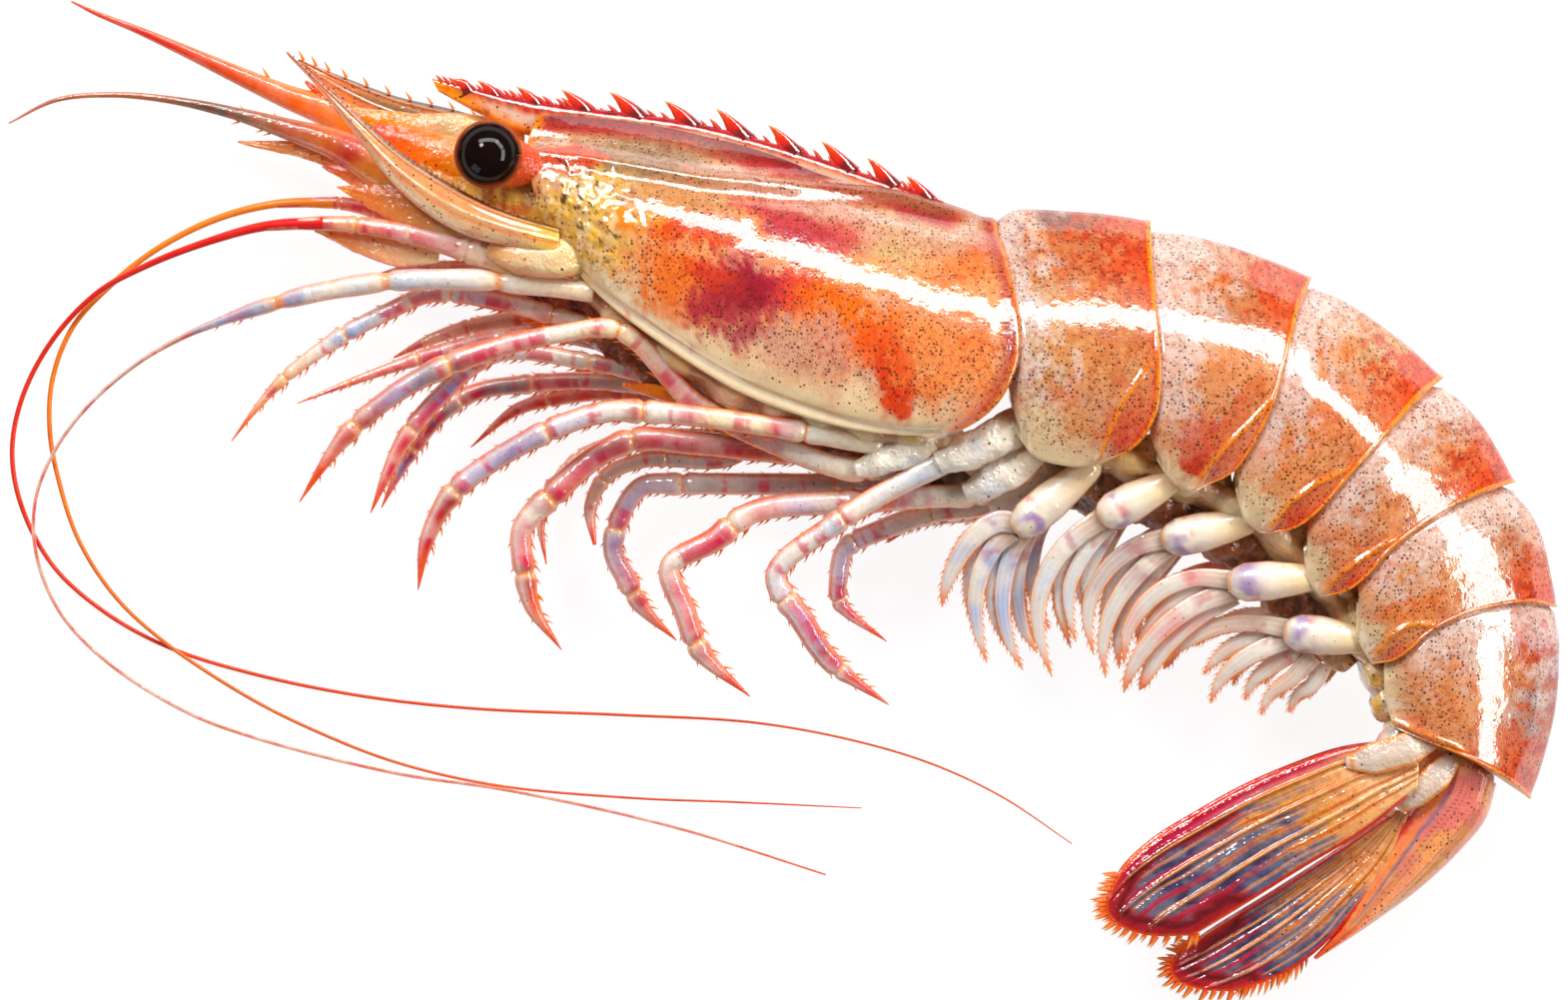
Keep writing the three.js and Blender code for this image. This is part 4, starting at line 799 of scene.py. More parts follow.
segments = [
    {
        "front": [[21.8, 28.7], [22.7, 24.5], [23.6, 20.5], [24.1, 16.5], [23.8, 12.5], [23.3, 9.5], [23.6, 6]],
        "back": [[21.8, 28.7], [24, 29.1], [31, 28.7], [36.7, 27.8]],
        "rear": [
            [36.7, 27.8], [36.8, 24], [37.1, 20], [37.4, 16.3], [37.6, 12.5], [37.1, 8.5], [35.2, 5.5],
            [31.3, 3.6],
        ],
        "edge": [[23.6, 6], [25, 4.3], [29, 3.3], [31.3, 3.6]],
        "rib": [(37.6, 16), (35.6, 12.3), (34, 10.2), (32.6, 7.2), (31.4, 4)],
    },
    {
        "front": [
            [37.2, 27.2], [37.3, 24], [37.6, 20], [37.9, 16.3], [38.1, 12.5], [37.7, 8.3], [37.5, 5.5],
            [37.8, 3],
        ],
        "back": [[37.2, 27.2], [43, 25.9], [49, 23.8], [52.8, 22.1]],
        "rear": [
            [52.8, 22.1], [51.5, 19.5], [50.7, 16.5], [49.8, 13], [49, 10], [46.8, 5.5], [44.8, 2.8],
            [40.5, 0.8],
        ],
        "edge": [[37.8, 3], [39, 1.5], [40.5, 0.8]],
        "rib": [(50, 13), (48.9, 10.2), (46.4, 7.6), (44.3, 5.6), (42.4, 3.4), (40.8, 1)],
    },
    {
        "front": [
            [53.2, 21.5], [52, 19.2], [51.2, 16.3], [50.3, 12.9], [49.5, 9.8], [47.4, 5.2], [45.6, 2.4],
            [45.3, 0],
        ],
        "back": [[53.2, 21.5], [57.5, 19.1], [62, 15.8], [66, 12.1]],
        "rear": [
            [66, 12.1], [63.5, 10.2], [61, 7.5], [59, 5.2], [56.5, 2.5], [53.5, -1], [51, -2.8], [47.5, -3.3],
        ],
        "edge": [[45.3, 0], [46, -2], [47.5, -3.3]],
        "rib": [(58.6, 4.8), (56, 3), (53, 1.6), (50.6, -0.2), (48.6, -2.6)],
    },
    {
        "front": [
            [66.3, 11.4], [63.9, 9.6], [61.5, 7], [59.5, 4.7], [57, 2], [54.2, -1.4], [52.6, -3.4], [52, -6],
        ],
        "back": [[66.3, 11.4], [70, 7.5], [73.2, 1.7]],
        "rear": [
            [73.2, 1.7], [70, 0.8], [66.5, -0.8], [63, -3], [60.5, -5], [58, -7.8], [56, -9.2], [53.5, -9.6],
        ],
        "edge": [[52, -6], [52.4, -8], [53.5, -9.6]],
        "rib": [(63.5, -2.8), (60.5, -4), (57.5, -6), (55.5, -7.4), (54, -9)],
    },
    {
        "front": [
            [73.4, 1], [70.2, 0.2], [66.8, -1.4], [63.4, -3.6], [61, -5.6], [58.8, -8.2], [57.4, -9.6],
            [57.2, -11.5],
        ],
        "back": [[73.4, 1], [75.8, -3], [77, -8], [77.4, -10.8]],
        "rear": [
            [77.4, -10.8], [75, -10.2], [71, -10.6], [67.5, -11.6], [64.5, -13.2], [62.5, -15], [61, -16],
            [58.8, -16.4],
        ],
        "edge": [[57.2, -11.5], [57.4, -14], [58.8, -16.4]],
        "rib": [(65.5, -12.4), (62.5, -12.4), (60.5, -13.6), (59.2, -15.6)],
    },
    {
        "front": [
            [77.6, -11.4], [75, -10.8], [71.2, -11.2], [67.8, -12.2], [65, -13.8], [63, -15.6],
            [61.4, -16.6], [60, -17.2],
        ],
        "back": [[77.6, -11.4], [77.8, -15], [77.4, -21], [76, -26.5], [74.7, -30]],
        "rear": [[74.7, -30], [73, -28.5], [70, -26.6], [67, -25.2], [64, -24], [61, -22.7]],
        "edge": [[60, -17.2], [60.2, -20], [61, -22.7]],
        "rib": [(61, -21.9), (64, -23.3), (67, -24.5), (70, -25.9), (73, -27.8)],
    },
]


def addSegment(k, outlines):
    share = np.array([k, k + 1]) / len(segments)
    half = headHalfWidth - 0.3 + (tailHalfWidth - headHalfWidth + 0.3) * share**1.2
    rings, u, t = plateRings(outlines, list(half), None, 0.15, 1.0, 84, 72)
    normals = ringNormals(rings)
    inside = ((np.arange(t.shape[1]) > 72) & (np.arange(t.shape[1]) < 77))[None] | (t > 0.999)
    rib = nearLine(rings, outlines["rib"])
    behind = ease(0.62, 0.9, t) * ease(0.3, 0.9, u)
    height = 0.16 * bump(0.985, 0.012, u) + 0.12 * ease(0.5, 0.95, u) - 0.3 * ease(0.2, 0.0, u)
    height += 0.28 * bump(0, 0.3, rib) * ease(0.5, 0.6, t) - 0.14 * bump(1.2, 0.6, rib) * behind
    height += 0.06 * grain(rings, 7, 2, 13 + k) + 0.012 * grain(rings, 2, 2, k)
    rings = rings + normals * np.where(inside, 0, height)[..., None]
    # the front edge tucks in under the plate ahead
    first = rings[1:2] - rings[:1]
    tuck = rings[:1] - 1.1 * first / np.linalg.norm(first, axis=-1, keepdims=True)
    tuck = tuck - 0.75 * normals[:1] * np.where(inside, 0.2, 1.0)[:1, :, None]
    rings = np.concatenate([tuck, rings])
    u, t = np.vstack([np.zeros_like(u[:1]), u]), np.vstack([t[:1], t])
    rib = np.vstack([rib[:1], rib])
    rings[..., 2] = np.maximum(rings[..., 2], 0)
    colour = 0.86 * shellGround(rings, t * 0.9, 31.0 + 5 * k)
    streaky = grain(rings * np.array([1, 1, 0.4]), 1.6, 3, 60 + k)
    fleck = grain(rings, 0.7, 2, 66 + k)
    behind = ease(0.3, 0.75, u + 0.3 * streaky + 0.15 * fleck)
    front = ease(0.5, 0.08, u + 0.3 * streaky + 0.15 * fleck)
    corner = ease(0.5, 0.85, u + 0.3 * streaky + 0.2 * fleck) * ease(0.42, 0.16, t + 0.1 * streaky)
    colour = coats(colour, [
        (0.9 * tone(226, 150, 92), 0.6 * behind * ease(0.9, 0.7, t)),
        (0.94 * tone(228, 208, 198), 0.75 * front * ease(0.88, 0.6, t)),
        ("rust", 0.6 * ease(0.05, 0.4, streaky + 0.3 * fleck) * ease(0.75, 0.4, t) * ease(0.2, 0.6, u)),
        ("ember", 0.78 * corner),
        ("darkRed", 0.45 * corner * ease(0.1, 0.4, fleck + 0.5 * streaky)),
        ("coralRed", 0.5 * ease(0.6, 0.9, u + 0.15 * streaky) * ease(0.6, 0.8, t)),
        ("crimson", 0.6 * ease(0.2, 0.55, streaky + 0.6 * fleck) * ease(0.03, 0.0, t)),
        ("amber", 0.95 * bump(0, 0.26, rib) * ease(0.45, 0.6, t)),
        ("ember", 0.6 * ease(0.93, 0.955, u)),
        ("amber", 0.98 * ease(0.962, 0.976, u)),
        ("cream", 0.75 * ease(0.9, 1.0, t + 0.03 * streaky)),
    ])
    dotty = speckleDensity(rings, t * 0.9, 40 + k) * (0.85 + 0.5 * ease(0.1, 0.4, u))
    coat = skin(colour, stainAmount(rings, t * 0.9, 50 + k), dotty)
    addSolids("tailShell%d" % (k + 1), [(rings, coat)], shellFinish, ["tergite_%d" % (k + 1)])


print("shell")
addCarapace()
addRostrum()
for k, outlines in enumerate(segments):
    addSegment(k, outlines)

# legs

sternum = [[-21, 22.6], [-14, 16.4], [-5, 10.9], [1, 8.8], [8, 6.9], [15, 5.7], [21, 4.6]]
hipSpread = 3.6

# hip is where the leg leaves the underside; joints are shares of the leg's length, tones its hundredths
legs = {
    "mouth_leg_1_near": {
        "hip": 0.05, "joints": [0.06, 0.13, 0.2], "bristle": 0.8, "lastBristle": 0.25, "count": 420,
        "tones": "0 cream, 6 milk, 12 skyGrey, 17 milk, 19 blue, 20 magenta, 21 blue, 24 blue, 27 brown, "
                 "33 mauve, 40 rust, 100 ember",
        "path": [
            [-24, 21.4, 12.4, 1.05], [-31, 22, 12.4, 1], [-39, 21.9, 11.6, 1],
            [-46, 20.9, 10.2, 0.95], [-51, 19.7, 9, 0.8], [-56, 18.1, 7.4, 0.5], [-60, 16.5, 6, 0.3],
            [-64.5, 14, 4.6, 0.22], [-69.5, 9.9, 3.2, 0.2], [-73.2, 5.2, 2.2, 0.19], [-75.3, 0, 1.7, 0.19],
            [-75.2, -5.6, 1.6, 0.19], [-72.8, -11.4, 1.6, 0.18], [-68, -16.4, 1.6, 0.18],
            [-60, -21.4, 1.6, 0.18],
            [-53, -24, 1.6, 0.17], [-39, -27.5, 1.6, 0.17], [-29, -29, 1.5, 0.16], [-19, -31, 1.1, 0.16],
            [-9, -33.5, 0.7, 0.15], [4.2, -37.7, 0.4, 0.1],
        ],
    },
    "mouth_leg_1_far": {
        "hip": 0.06, "joints": [0.3, 0.6], "bristle": 0.7,
        "tones": "0 brown, 40 grey, 70 pink, 100 orange",
        "path": [[-19.6, 19, 7.6, 0.8], [-25, 22.2, 7.4, 0.95], [-31, 23.1, 7.2, 0.9], [-37, 23.1, 7, 0.75],
                 [-42, 22.2, 6.8, 0.1]],
    },
    "mouth_leg_2_near": {
        "hip": 0.15, "joints": [0.24, 0.45, 0.68, 0.83], "bristle": 1.0,
        "tones": "0 cream, 20 milk, 25 magenta, 29 milk, 35 magenta, 40 lavender, 52 milk, 56 magenta, "
                 "60 skyGrey, 68 blue, 74 milk, 86 apricot, 100 orange",
        "path": [
            [-15.6, 16.4, 9.4, 0.9], [-22, 18.2, 9.2, 1], [-29, 20, 9, 1], [-35, 20.7, 9, 0.9],
            [-40, 18.7, 8.8, 0.9],
            [-45, 16, 8.4, 0.85], [-50, 12.3, 8, 0.6], [-52.8, 9.3, 7.8, 0.35], [-55.4, 5.9, 7.6, 0.06],
        ],
    },
    "mouth_leg_2_far": {
        "hip": 0.18, "joints": [0.4, 0.65, 0.85], "bristle": 0.9,
        "tones": "0 brown, 30 grey, 60 pink, 80 coralRed, 100 orange",
        "path": [[-16, 15.4, 6.8, 0.8], [-23, 16.6, 6.8, 0.85], [-29, 16.2, 6.8, 0.8], [-34, 15, 6.8, 0.8],
                 [-39, 13.4, 6.8, 0.6], [-44, 11.6, 6.8, 0.35], [-48.8, 9.7, 6.8, 0.06]],
    },
    "mouth_leg_3_far": {
        "hip": 0.1, "joints": [0.35, 0.65], "bristle": 0.8,
        "tones": "0 brown, 50 greyPink, 100 apricot",
        "path": [[-19, 17.6, 4.6, 0.8], [-25, 18.2, 4.4, 0.9], [-31, 17.5, 4.4, 0.85], [-35.5, 16.1, 4.4, 0.6],
                 [-39.2, 14.3, 4.4, 0.1]],
    },
    "leg_1_near": {
        "hip": 0.74, "joints": [0.1, 0.49, 0.72, 0.87], "bristle": 0.9,
        "tones": "0 cream, 20 milk, 26 pink, 34 milk, 40 pink, 47 cream, 50 cream, 58 milk, 62 magenta, "
                 "65 pink, 70 crimson, 75 purple, 80 violet, 85 crimson, 90 red, 95 flame, 100 orange",
        "path": [
            [12.2, 4.6, 11.2, 1.1], [7.6, 3, 12.4, 1.15], [-2, 6.1, 12.2, 1.15], [-9, 9.8, 12.4, 1.1],
            [-16.4, 16.9, 14.2, 0.95], [-23, 16.5, 13.8, 0.95], [-30, 14.8, 13.2, 1.15],
            [-35.3, 12.7, 12.6, 1.1],
            [-39.5, 10.2, 12.2, 1], [-43.5, 6.8, 11.6, 0.95], [-45.8, 3.9, 11.2, 0.6],
            [-48.5, -0.2, 10.8, 0.06],
        ],
    },
    "mouth_leg_3_near": {
        "hip": 0.34, "joints": [0.36, 0.58, 0.8], "bristle": 1.0,
        "tones": "0 brown, 25 grey, 45 milk, 58 lavender, 72 violet, 80 magenta, 88 red, 100 orange",
        "path": [
            [-9, 11.2, 8.8, 0.8], [-20, 13.9, 9.2, 0.85], [-29, 14.6, 10.1, 0.9], [-35, 9.8, 10, 0.95],
            [-38.2, 5.8, 9.8, 0.85], [-39.8, 2.5, 9.6, 0.6], [-41.4, -1.3, 9.4, 0.06],
        ],
    },
    "leg_1_far": {
        "hip": 0.36, "joints": [0.5, 0.68, 0.84], "bristle": 1.0,
        "tones": "0 brown, 30 grey, 48 pink, 56 purple, 66 crimson, 72 purple, 84 crimson, 90 violet, "
                 "100 orange",
        "path": [
            [-8, 10.6, 6.2, 0.8], [-19, 11.9, 5.6, 0.9], [-25, 11.7, 5.6, 0.95], [-31, 10.8, 5.8, 0.9],
            [-34.5, 8.6, 6, 0.9], [-37.2, 5.2, 6.2, 0.8], [-38.9, 2.3, 6.2, 0.5], [-40.4, -0.8, 6.2, 0.06],
        ],
    },
    "leg_2_near": {
        "hip": 0.66, "joints": [0.17, 0.45, 0.62, 0.81], "bristle": 1.0,
        "tones": "0 cream, 18 milk, 22 magenta, 25 cream, 34 cream, 37 magenta, 40 milk, 44 milk, "
                 "46 crimson, 49 milk, 58 lavender, 68 violet, 78 lavender, 82 crimson, 93 red, 100 orange",
        "path": [
            [9.4, 5.6, 14, 0.9], [1, 7, 15, 1.1], [-9, 8.4, 15.4, 1.1], [-13.5, 8.8, 15.4, 1.15],
            [-17.8, 8.8, 15.2, 1.1], [-25, 6.2, 14.4, 1.1], [-33, 0.8, 13, 1.1], [-35.7, -4, 12.4, 0.8],
            [-36.6, -9, 12, 0.06],
        ],
    },
    "leg_2_far": {
        "hip": 0.4, "joints": [0.45, 0.7], "bristle": 0.8,
        "tones": "0 brown, 35 grey, 60 coralRed, 80 red, 100 orange",
        "path": [[-7, 9.4, 4, 0.8], [-17, 10.8, 3.2, 0.85], [-23, 10.2, 3.2, 0.8], [-27, 9, 3.2, 0.65],
                 [-31.5, 5.3, 3.2, 0.06]],
    },
    "leg_3_near": {
        "hip": 0.56, "joints": [0.3, 0.56, 0.72, 0.86], "bristle": 1.0,
        "tones": "0 cream, 25 pink, 32 coralRed, 45 pink, 50 magenta, 56 pink, 62 magenta, 68 pink, "
                 "73 crimson, 76 milk, 80 magenta, 83 pink, 87 crimson, 92 flame, 100 amber",
        "path": [
            [10.6, 4.6, 8.8, 1], [-1, 4.9, 9.6, 1.2], [-9, 5.7, 9.9, 1.25], [-15, 6, 10.2, 1.2],
            [-19, 4.2, 10.4, 1.2],
            [-23, 0.7, 10.4, 1.3], [-26.2, -2.9, 10, 1.1], [-26, -7, 9.6, 1.1], [-25.2, -10.7, 9.2, 0.85],
            [-22.3, -15, 8.8, 0.06],
        ],
    },
    "leg_3_far": {
        "hip": 0.5, "joints": [0.4, 0.65, 0.82], "bristle": 0.9,
        "tones": "0 brown, 40 grey, 60 mauve, 80 pink, 100 orange",
        "path": [[-4, 6.6, 4.6, 0.8], [-14, 6.2, 4.4, 0.9], [-20, 4.5, 4, 0.8], [-23, 1.5, 3.6, 0.7],
                 [-24.4, -2, 3.4, 0.5], [-23.9, -6.5, 3.2, 0.06]],
    },
    "leg_branch_1_far": {
        "hip": 0.46, "joints": [0.5, 0.75], "bristle": 0.8,
        "tones": "0 brown, 40 grey, 80 greyPink, 100 pink",
        "path": [[-5, 4.2, 7.2, 0.7], [-14, 4, 7.3, 0.8], [-17.8, 2.4, 7.2, 0.8], [-19.4, -0.8, 7, 0.7],
                 [-19, -4.5, 6.9, 0.2]],
    },
    "leg_4_near": {
        "hip": 0.9, "joints": [0.14, 0.34, 0.58, 0.86], "bristle": 1.0,
        "tones": "0 cream, 22 milk, 30 milk, 34 magenta, 38 milk, 45 lavender, 52 pink, 58 milk, 61 magenta, "
                 "66 pink, 70 milk, 76 magenta, 81 pink, 86 crimson, 92 red, 100 orange",
        "path": [
            [20.6, 1.2, 10, 1.2], [14, 0.3, 10.4, 1.2], [6, -0.2, 10.3, 1.25], [-3, -1.2, 10, 1.15],
            [-7, -4, 9.8, 1.25],
            [-11.4, -6.7, 9.4, 1.1], [-10, -11, 9, 1.2], [-8.3, -15.2, 8.6, 1.05], [-3.4, -19.7, 8.2, 0.06],
        ],
    },
    "leg_4_far": {
        "hip": 0.78, "joints": [0.3, 0.58, 0.75, 0.88], "bristle": 0.9,
        "tones": "0 brown, 20 grey, 45 mauve, 55 grey, 62 lavender, 78 violet, 88 pink, 100 orange",
        "path": [
            [16, 1.9, 6.4, 1.1], [7, 1.6, 6.5, 1.15], [-3, 1.6, 6.5, 1.15], [-10, 1.6, 6.2, 1.1],
            [-14.5, 1.2, 5.6, 1.05],
            [-17.2, -4.7, 4.6, 1], [-15.8, -8, 4.4, 1.1], [-14.2, -10.8, 4.2, 0.8], [-10.8, -14.1, 4, 0.06],
        ],
    },
    "leg_5_near": {
        "hip": 0.93, "joints": [0.35, 0.63, 0.85], "bristle": 1.0,
        "tones": "0 cream, 5 milk, 14 skyGrey, 31 milk, 35 magenta, 38 skyGrey, 48 milk, 61 lavender, "
                 "65 pink, 72 violet, 80 crimson, 85 lavender, 88 red, 96 red, 100 orange",
        "path": [
            [15, 3.4, 13.6, 1.35], [11, 1.3, 13.6, 1.15], [5.2, -2.3, 13.4, 1.1],
            [-0.8, -7.5, 12.6, 1.1], [1.8, -12, 12.2, 1.25], [4.5, -16, 11.8, 1.1], [10.5, -20.5, 11.4, 0.06],
        ],
    },
    "leg_5_far": {
        "hip": 0.92, "joints": [0.35, 0.6, 0.8], "bristle": 0.8,
        "tones": "0 grey, 40 milk, 60 lavender, 75 violet, 85 pink, 100 orange",
        "path": [
            [20.2, 0, 5.6, 1.2], [15, -1.2, 5.5, 1.15], [10, -2.9, 5.2, 1.1], [6.2, -4.9, 4.8, 1],
            [5.5, -7.6, 4.6, 1],
            [5.6, -10.3, 4.4, 0.8], [10.3, -14.2, 4.2, 0.06],
        ],
    },
    "leg_branch_2_far": {
        "hip": 0.95, "joints": [0.5], "bristle": 0.7,
        "tones": "0 grey, 60 milk, 100 apricot",
        "path": [[21, -0.9, 2.8, 1], [16.4, -1.4, 2.5, 1.05], [12.5, -2.6, 2.4, 0.6], [10.4, -4.3, 2.3, 0.06]],
    },
}


def pieceName(node, part):
    first, *rest = (node + "_" + part).split("_")
    return first + "".join(word.capitalize() for word in rest)


def tonesAlong(stops, share):
    # each stop is a hundredth of the length and its tone
    at, names = zip(*(stop.split() for stop in stops.split(", ")))
    at = np.array(at, float) / 100
    return np.stack([np.interp(share, at, [tones[name][k] for name in names]) for k in range(3)], -1)


def jointSwell(joints):
    def swell(share):
        size = np.ones_like(share)
        for j in joints:
            size = size + 0.1 * bump(j - 0.014, 0.012, share) + 0.12 * bump(j + 0.018, 0.014, share)
            size = size - 0.2 * bump(j, 0.004, share)
        return size
    return swell


def paintLimb(rings, facts, look, seed):
    grid, side = facts["grid"], facts["rim"]
    wobble = grid + 0.012 * grain(rings, 1.2, 2, seed)
    pale, rim = look.get("pale", 1.0), look.get("rim", 1.0)
    bands = grain(np.broadcast_to(facts["centre"][:, None], rings.shape), 1.7, 2, seed + 9)
    spots = ease(0.12, 0.36, bands + 0.25 * grain(rings, 0.8, 2, seed + 11)) * ease(0.15, 0.3, grid)
    # Painted highlight: a near-white line along the upper side of the limb stands in for the lamp's reflection.
    paintedHighlight = bump(2.0, 0.22, facts["angle"])[None] * np.ones_like(grid) * ease(0.02, 0.1, grid)
    edge = ease(0.82, 0.97, side) * ease(0.05, 0.2, grid)
    colour = tonesAlong(look["tones"], wobble)
    colour = coats(colour, [
        ("milk", 0.42 * pale * ease(-0.7, 0.8, grain(rings, 2.6, 2, seed + 3))),
        (look.get("spot", "magenta"), 0.72 * pale * spots),
        (tone(255, 250, 245), 0.6 * pale * paintedHighlight * ease(1.0, 0.9, grid)),
        ("paleOrange", 0.55 * rim * ease(0.6, 0.85, side) * ease(0.05, 0.2, grid)),
        ("flame", 0.75 * rim * edge),
        ("flame", 0.75 * pale * ease(0.9, 0.97, grid)),
    ])
    for j in look["joints"]:
        colour = coats(colour, [
            ("cream", 0.55 * bump(j + 0.004, 0.007, grid)),
            ("amber", 0.8 * bump(j, 0.0025, grid)),
        ])
    return skin(colour, 0.35, 0.22)


def limbBristles(facts, look, seed, spacing=1.15):
    # two rows of spines along a limb, longer on its outer edge
    share = facts["share"]
    rows = []
    last = look.get("lastBristle", 0.97)
    steps = int(facts["run"][-1] * (last - 0.22) / spacing)
    for k in range(max(steps, 3)):
        s = 0.22 + (last - 0.22) * (k + 0.3 * math.sin(k * 2.4 + seed)) / max(steps, 3)
        i = min(int(s * (len(share) - 1)), len(share) - 2)
        for side, size in ((1, 1.0), (-1, 0.62)):
            if side < 0 and k % 2 or side == look.get("bareSide"):
                continue
            point = facts["centre"][i] + side * facts["aside"][i] * facts["radius"][i] * 0.93
            aim = 0.85 * facts["ahead"][i] + side * 0.62 * facts["aside"][i]
            uneven = 0.75 + 0.5 * abs(math.sin(k * 1.7 + seed))
            size = size * uneven * look["bristle"] * min(1, facts["radius"][i] + 0.35)
            rows.append((point, aim, facts["ahead"][i], size))
    return rows


print("legs")
bristleRows = []
for order, (name, look) in enumerate(legs.items()):
    hip = along(sternum, [look["hip"]])[0]
    side = 1 if name.endswith("near") else -1
    root = [hip[0], hip[1], eye["plane"] + side * hipSpread, look["path"][0][3]]
    rings, facts = tube([root] + look["path"], look.get("count", 230), 18, 0.92, jointSwell(look["joints"]))
    painted = paintLimb(rings, facts, look, order * 3.1)
    addSolids(pieceName(name, "limb"), [(rings, painted)], limbFinish, [name])
    bristleRows += limbBristles(facts, look, order)
addSpines("legBristles", bristleRows, {
    "length": 0.85, "girth": 0.11, "hook": 0.1, "sides": 5, "steps": 3,
}, bristleFinish)

# swimming legs

swimmers = [
    {
        "plane": 9, "tint": "blue",
        "stem": [[30.6, 3.2, 1.4], [29.4, 0.7, 1.5], [26.4, -0.9, 1.8], [23.4, -2.8, 1.5]],
        "blades": [
            [[23.6, -2.3, 1.1], [20.6, -2.4, 1.2], [17.8, -5.2, 1.2], [16.2, -8.6, 0.7], [15.8, -10.7, 0.08]],
            [[22.8, -3.2, 1], [20.8, -5, 1], [19.3, -8.6, 1.05], [19.3, -12.5, 0.8], [20.3, -16.3, 0.08]],
            [[24, -3.2, 1], [22.9, -5, 0.95], [21.9, -9, 1], [22.3, -13.4, 0.8], [23.9, -17, 0.08]],
        ],
    },
    {
        "plane": 8.5, "tint": "skyGrey",
        "stem": [[38.6, 1.8, 1.3], [37.2, 0.2, 1.4], [34.4, -0.4, 1.7], [31.8, -1.7, 1.4]],
        "blades": [
            [[31.8, -1.8, 1.1], [28.6, -4.2, 1.1], [26, -8, 1.1], [25.4, -12.6, 0.9], [26.8, -17.7, 0.08]],
            [[32.4, -2.4, 0.9], [30, -5.4, 0.9], [28.4, -9.6, 0.8], [29.2, -14.2, 0.08]],
        ],
    },
    {
        "plane": 8, "tint": "mauve",
        "stem": [[46.4, -2.2, 1.3], [44.8, -3.4, 1.4], [42, -3.6, 1.8], [38.2, -4, 1.4]],
        "blades": [
            [[38.4, -3.8, 1.1], [34.6, -5, 1], [31.4, -8.2, 1], [30.4, -11.6, 0.8], [31, -15.5, 0.08]],
            [[38.6, -4.6, 1], [36.2, -6.6, 1], [33.4, -10, 1.1], [32, -13.8, 0.85], [32.2, -17.8, 0.08]],
        ],
    },
    {
        "plane": 7.5, "tint": "pink",
        "stem": [[53, -7.8, 1.2], [51.2, -9.2, 1.3], [48.6, -9, 1.75], [44.8, -8.3, 1.4]],
        "blades": [
            [[44.8, -8, 1], [40.4, -7.9, 0.9], [37, -9.6, 1.1], [34.6, -12.6, 0.9], [34, -16.4, 0.1]],
            [[45, -9, 1.1], [40.4, -10.9, 1.1], [36.6, -14.2, 1.1], [34.6, -17.4, 0.7], [34, -19.3, 0.08]],
        ],
    },
    {
        "plane": 6.9, "tint": "greyPink",
        "stem": [[58, -14, 1.2], [56, -15.2, 1.3], [53.4, -14.9, 1.7], [50.4, -13.2, 1.3]],
        "blades": [
            [[50.6, -12.9, 1], [46, -12.3, 0.9], [42, -13.2, 1.1], [38.4, -16, 0.08]],
            [[50.8, -13.8, 1], [46.2, -15.8, 1.1], [43.6, -18.2, 0.7], [42.7, -20.4, 0.08]],
            [[53, -15.6, 1], [50.8, -17.9, 0.9], [48.6, -19.6, 0.6], [47.8, -21.6, 0.08]],
        ],
    },
]
swimmerDepth, farShift, farShrink = 3.7, (1.4, 0.9), 0.88


def swimmerPlaces(k, look, side, places, sink, root=None):
    shrink = 1 if side > 0 else farShrink
    dx, dy = (0, 0) if side > 0 else farShift
    lift = 0.9 if k % 2 else 0
    out = []
    for j, (x, y, r) in enumerate(places):
        if root is not None:
            x, y = root[0] + (x - root[0]) * shrink, root[1] + (y - root[1]) * shrink
        droop = 0 if root is None else 0.25 * j
        z = look["plane"] + side * (swimmerDepth + lift - sink - droop)
        out.append([x + dx, y + dy, max(r * 0.6 + 0.2, z), r * shrink])
    return out


def bladePlaces(look):
    # the blades of one leg, with others between them and one beside the last
    knots = unit(6)
    full = [
        np.column_stack([along([p[:2] for p in b], knots)[:, :2], level(knots, [p[2] for p in b])])
        for b in look["blades"]
    ]
    between = [(a + b) / 2 for a, b in zip(full, full[1:])]
    beside = full[-1] * 1.45 - full[-2] * 0.45
    beside[:, 2] = full[-1][:, 2]
    for rows in between + [beside]:
        rows[:, :2] = rows[0, :2] + (rows[:, :2] - rows[0, :2]) * 0.86
    lifted = [(rows, 0.5 * b) for b, rows in enumerate(full)]
    return lifted + [(rows, 0.9 + 0.4 * b) for b, rows in enumerate(between + [beside])]


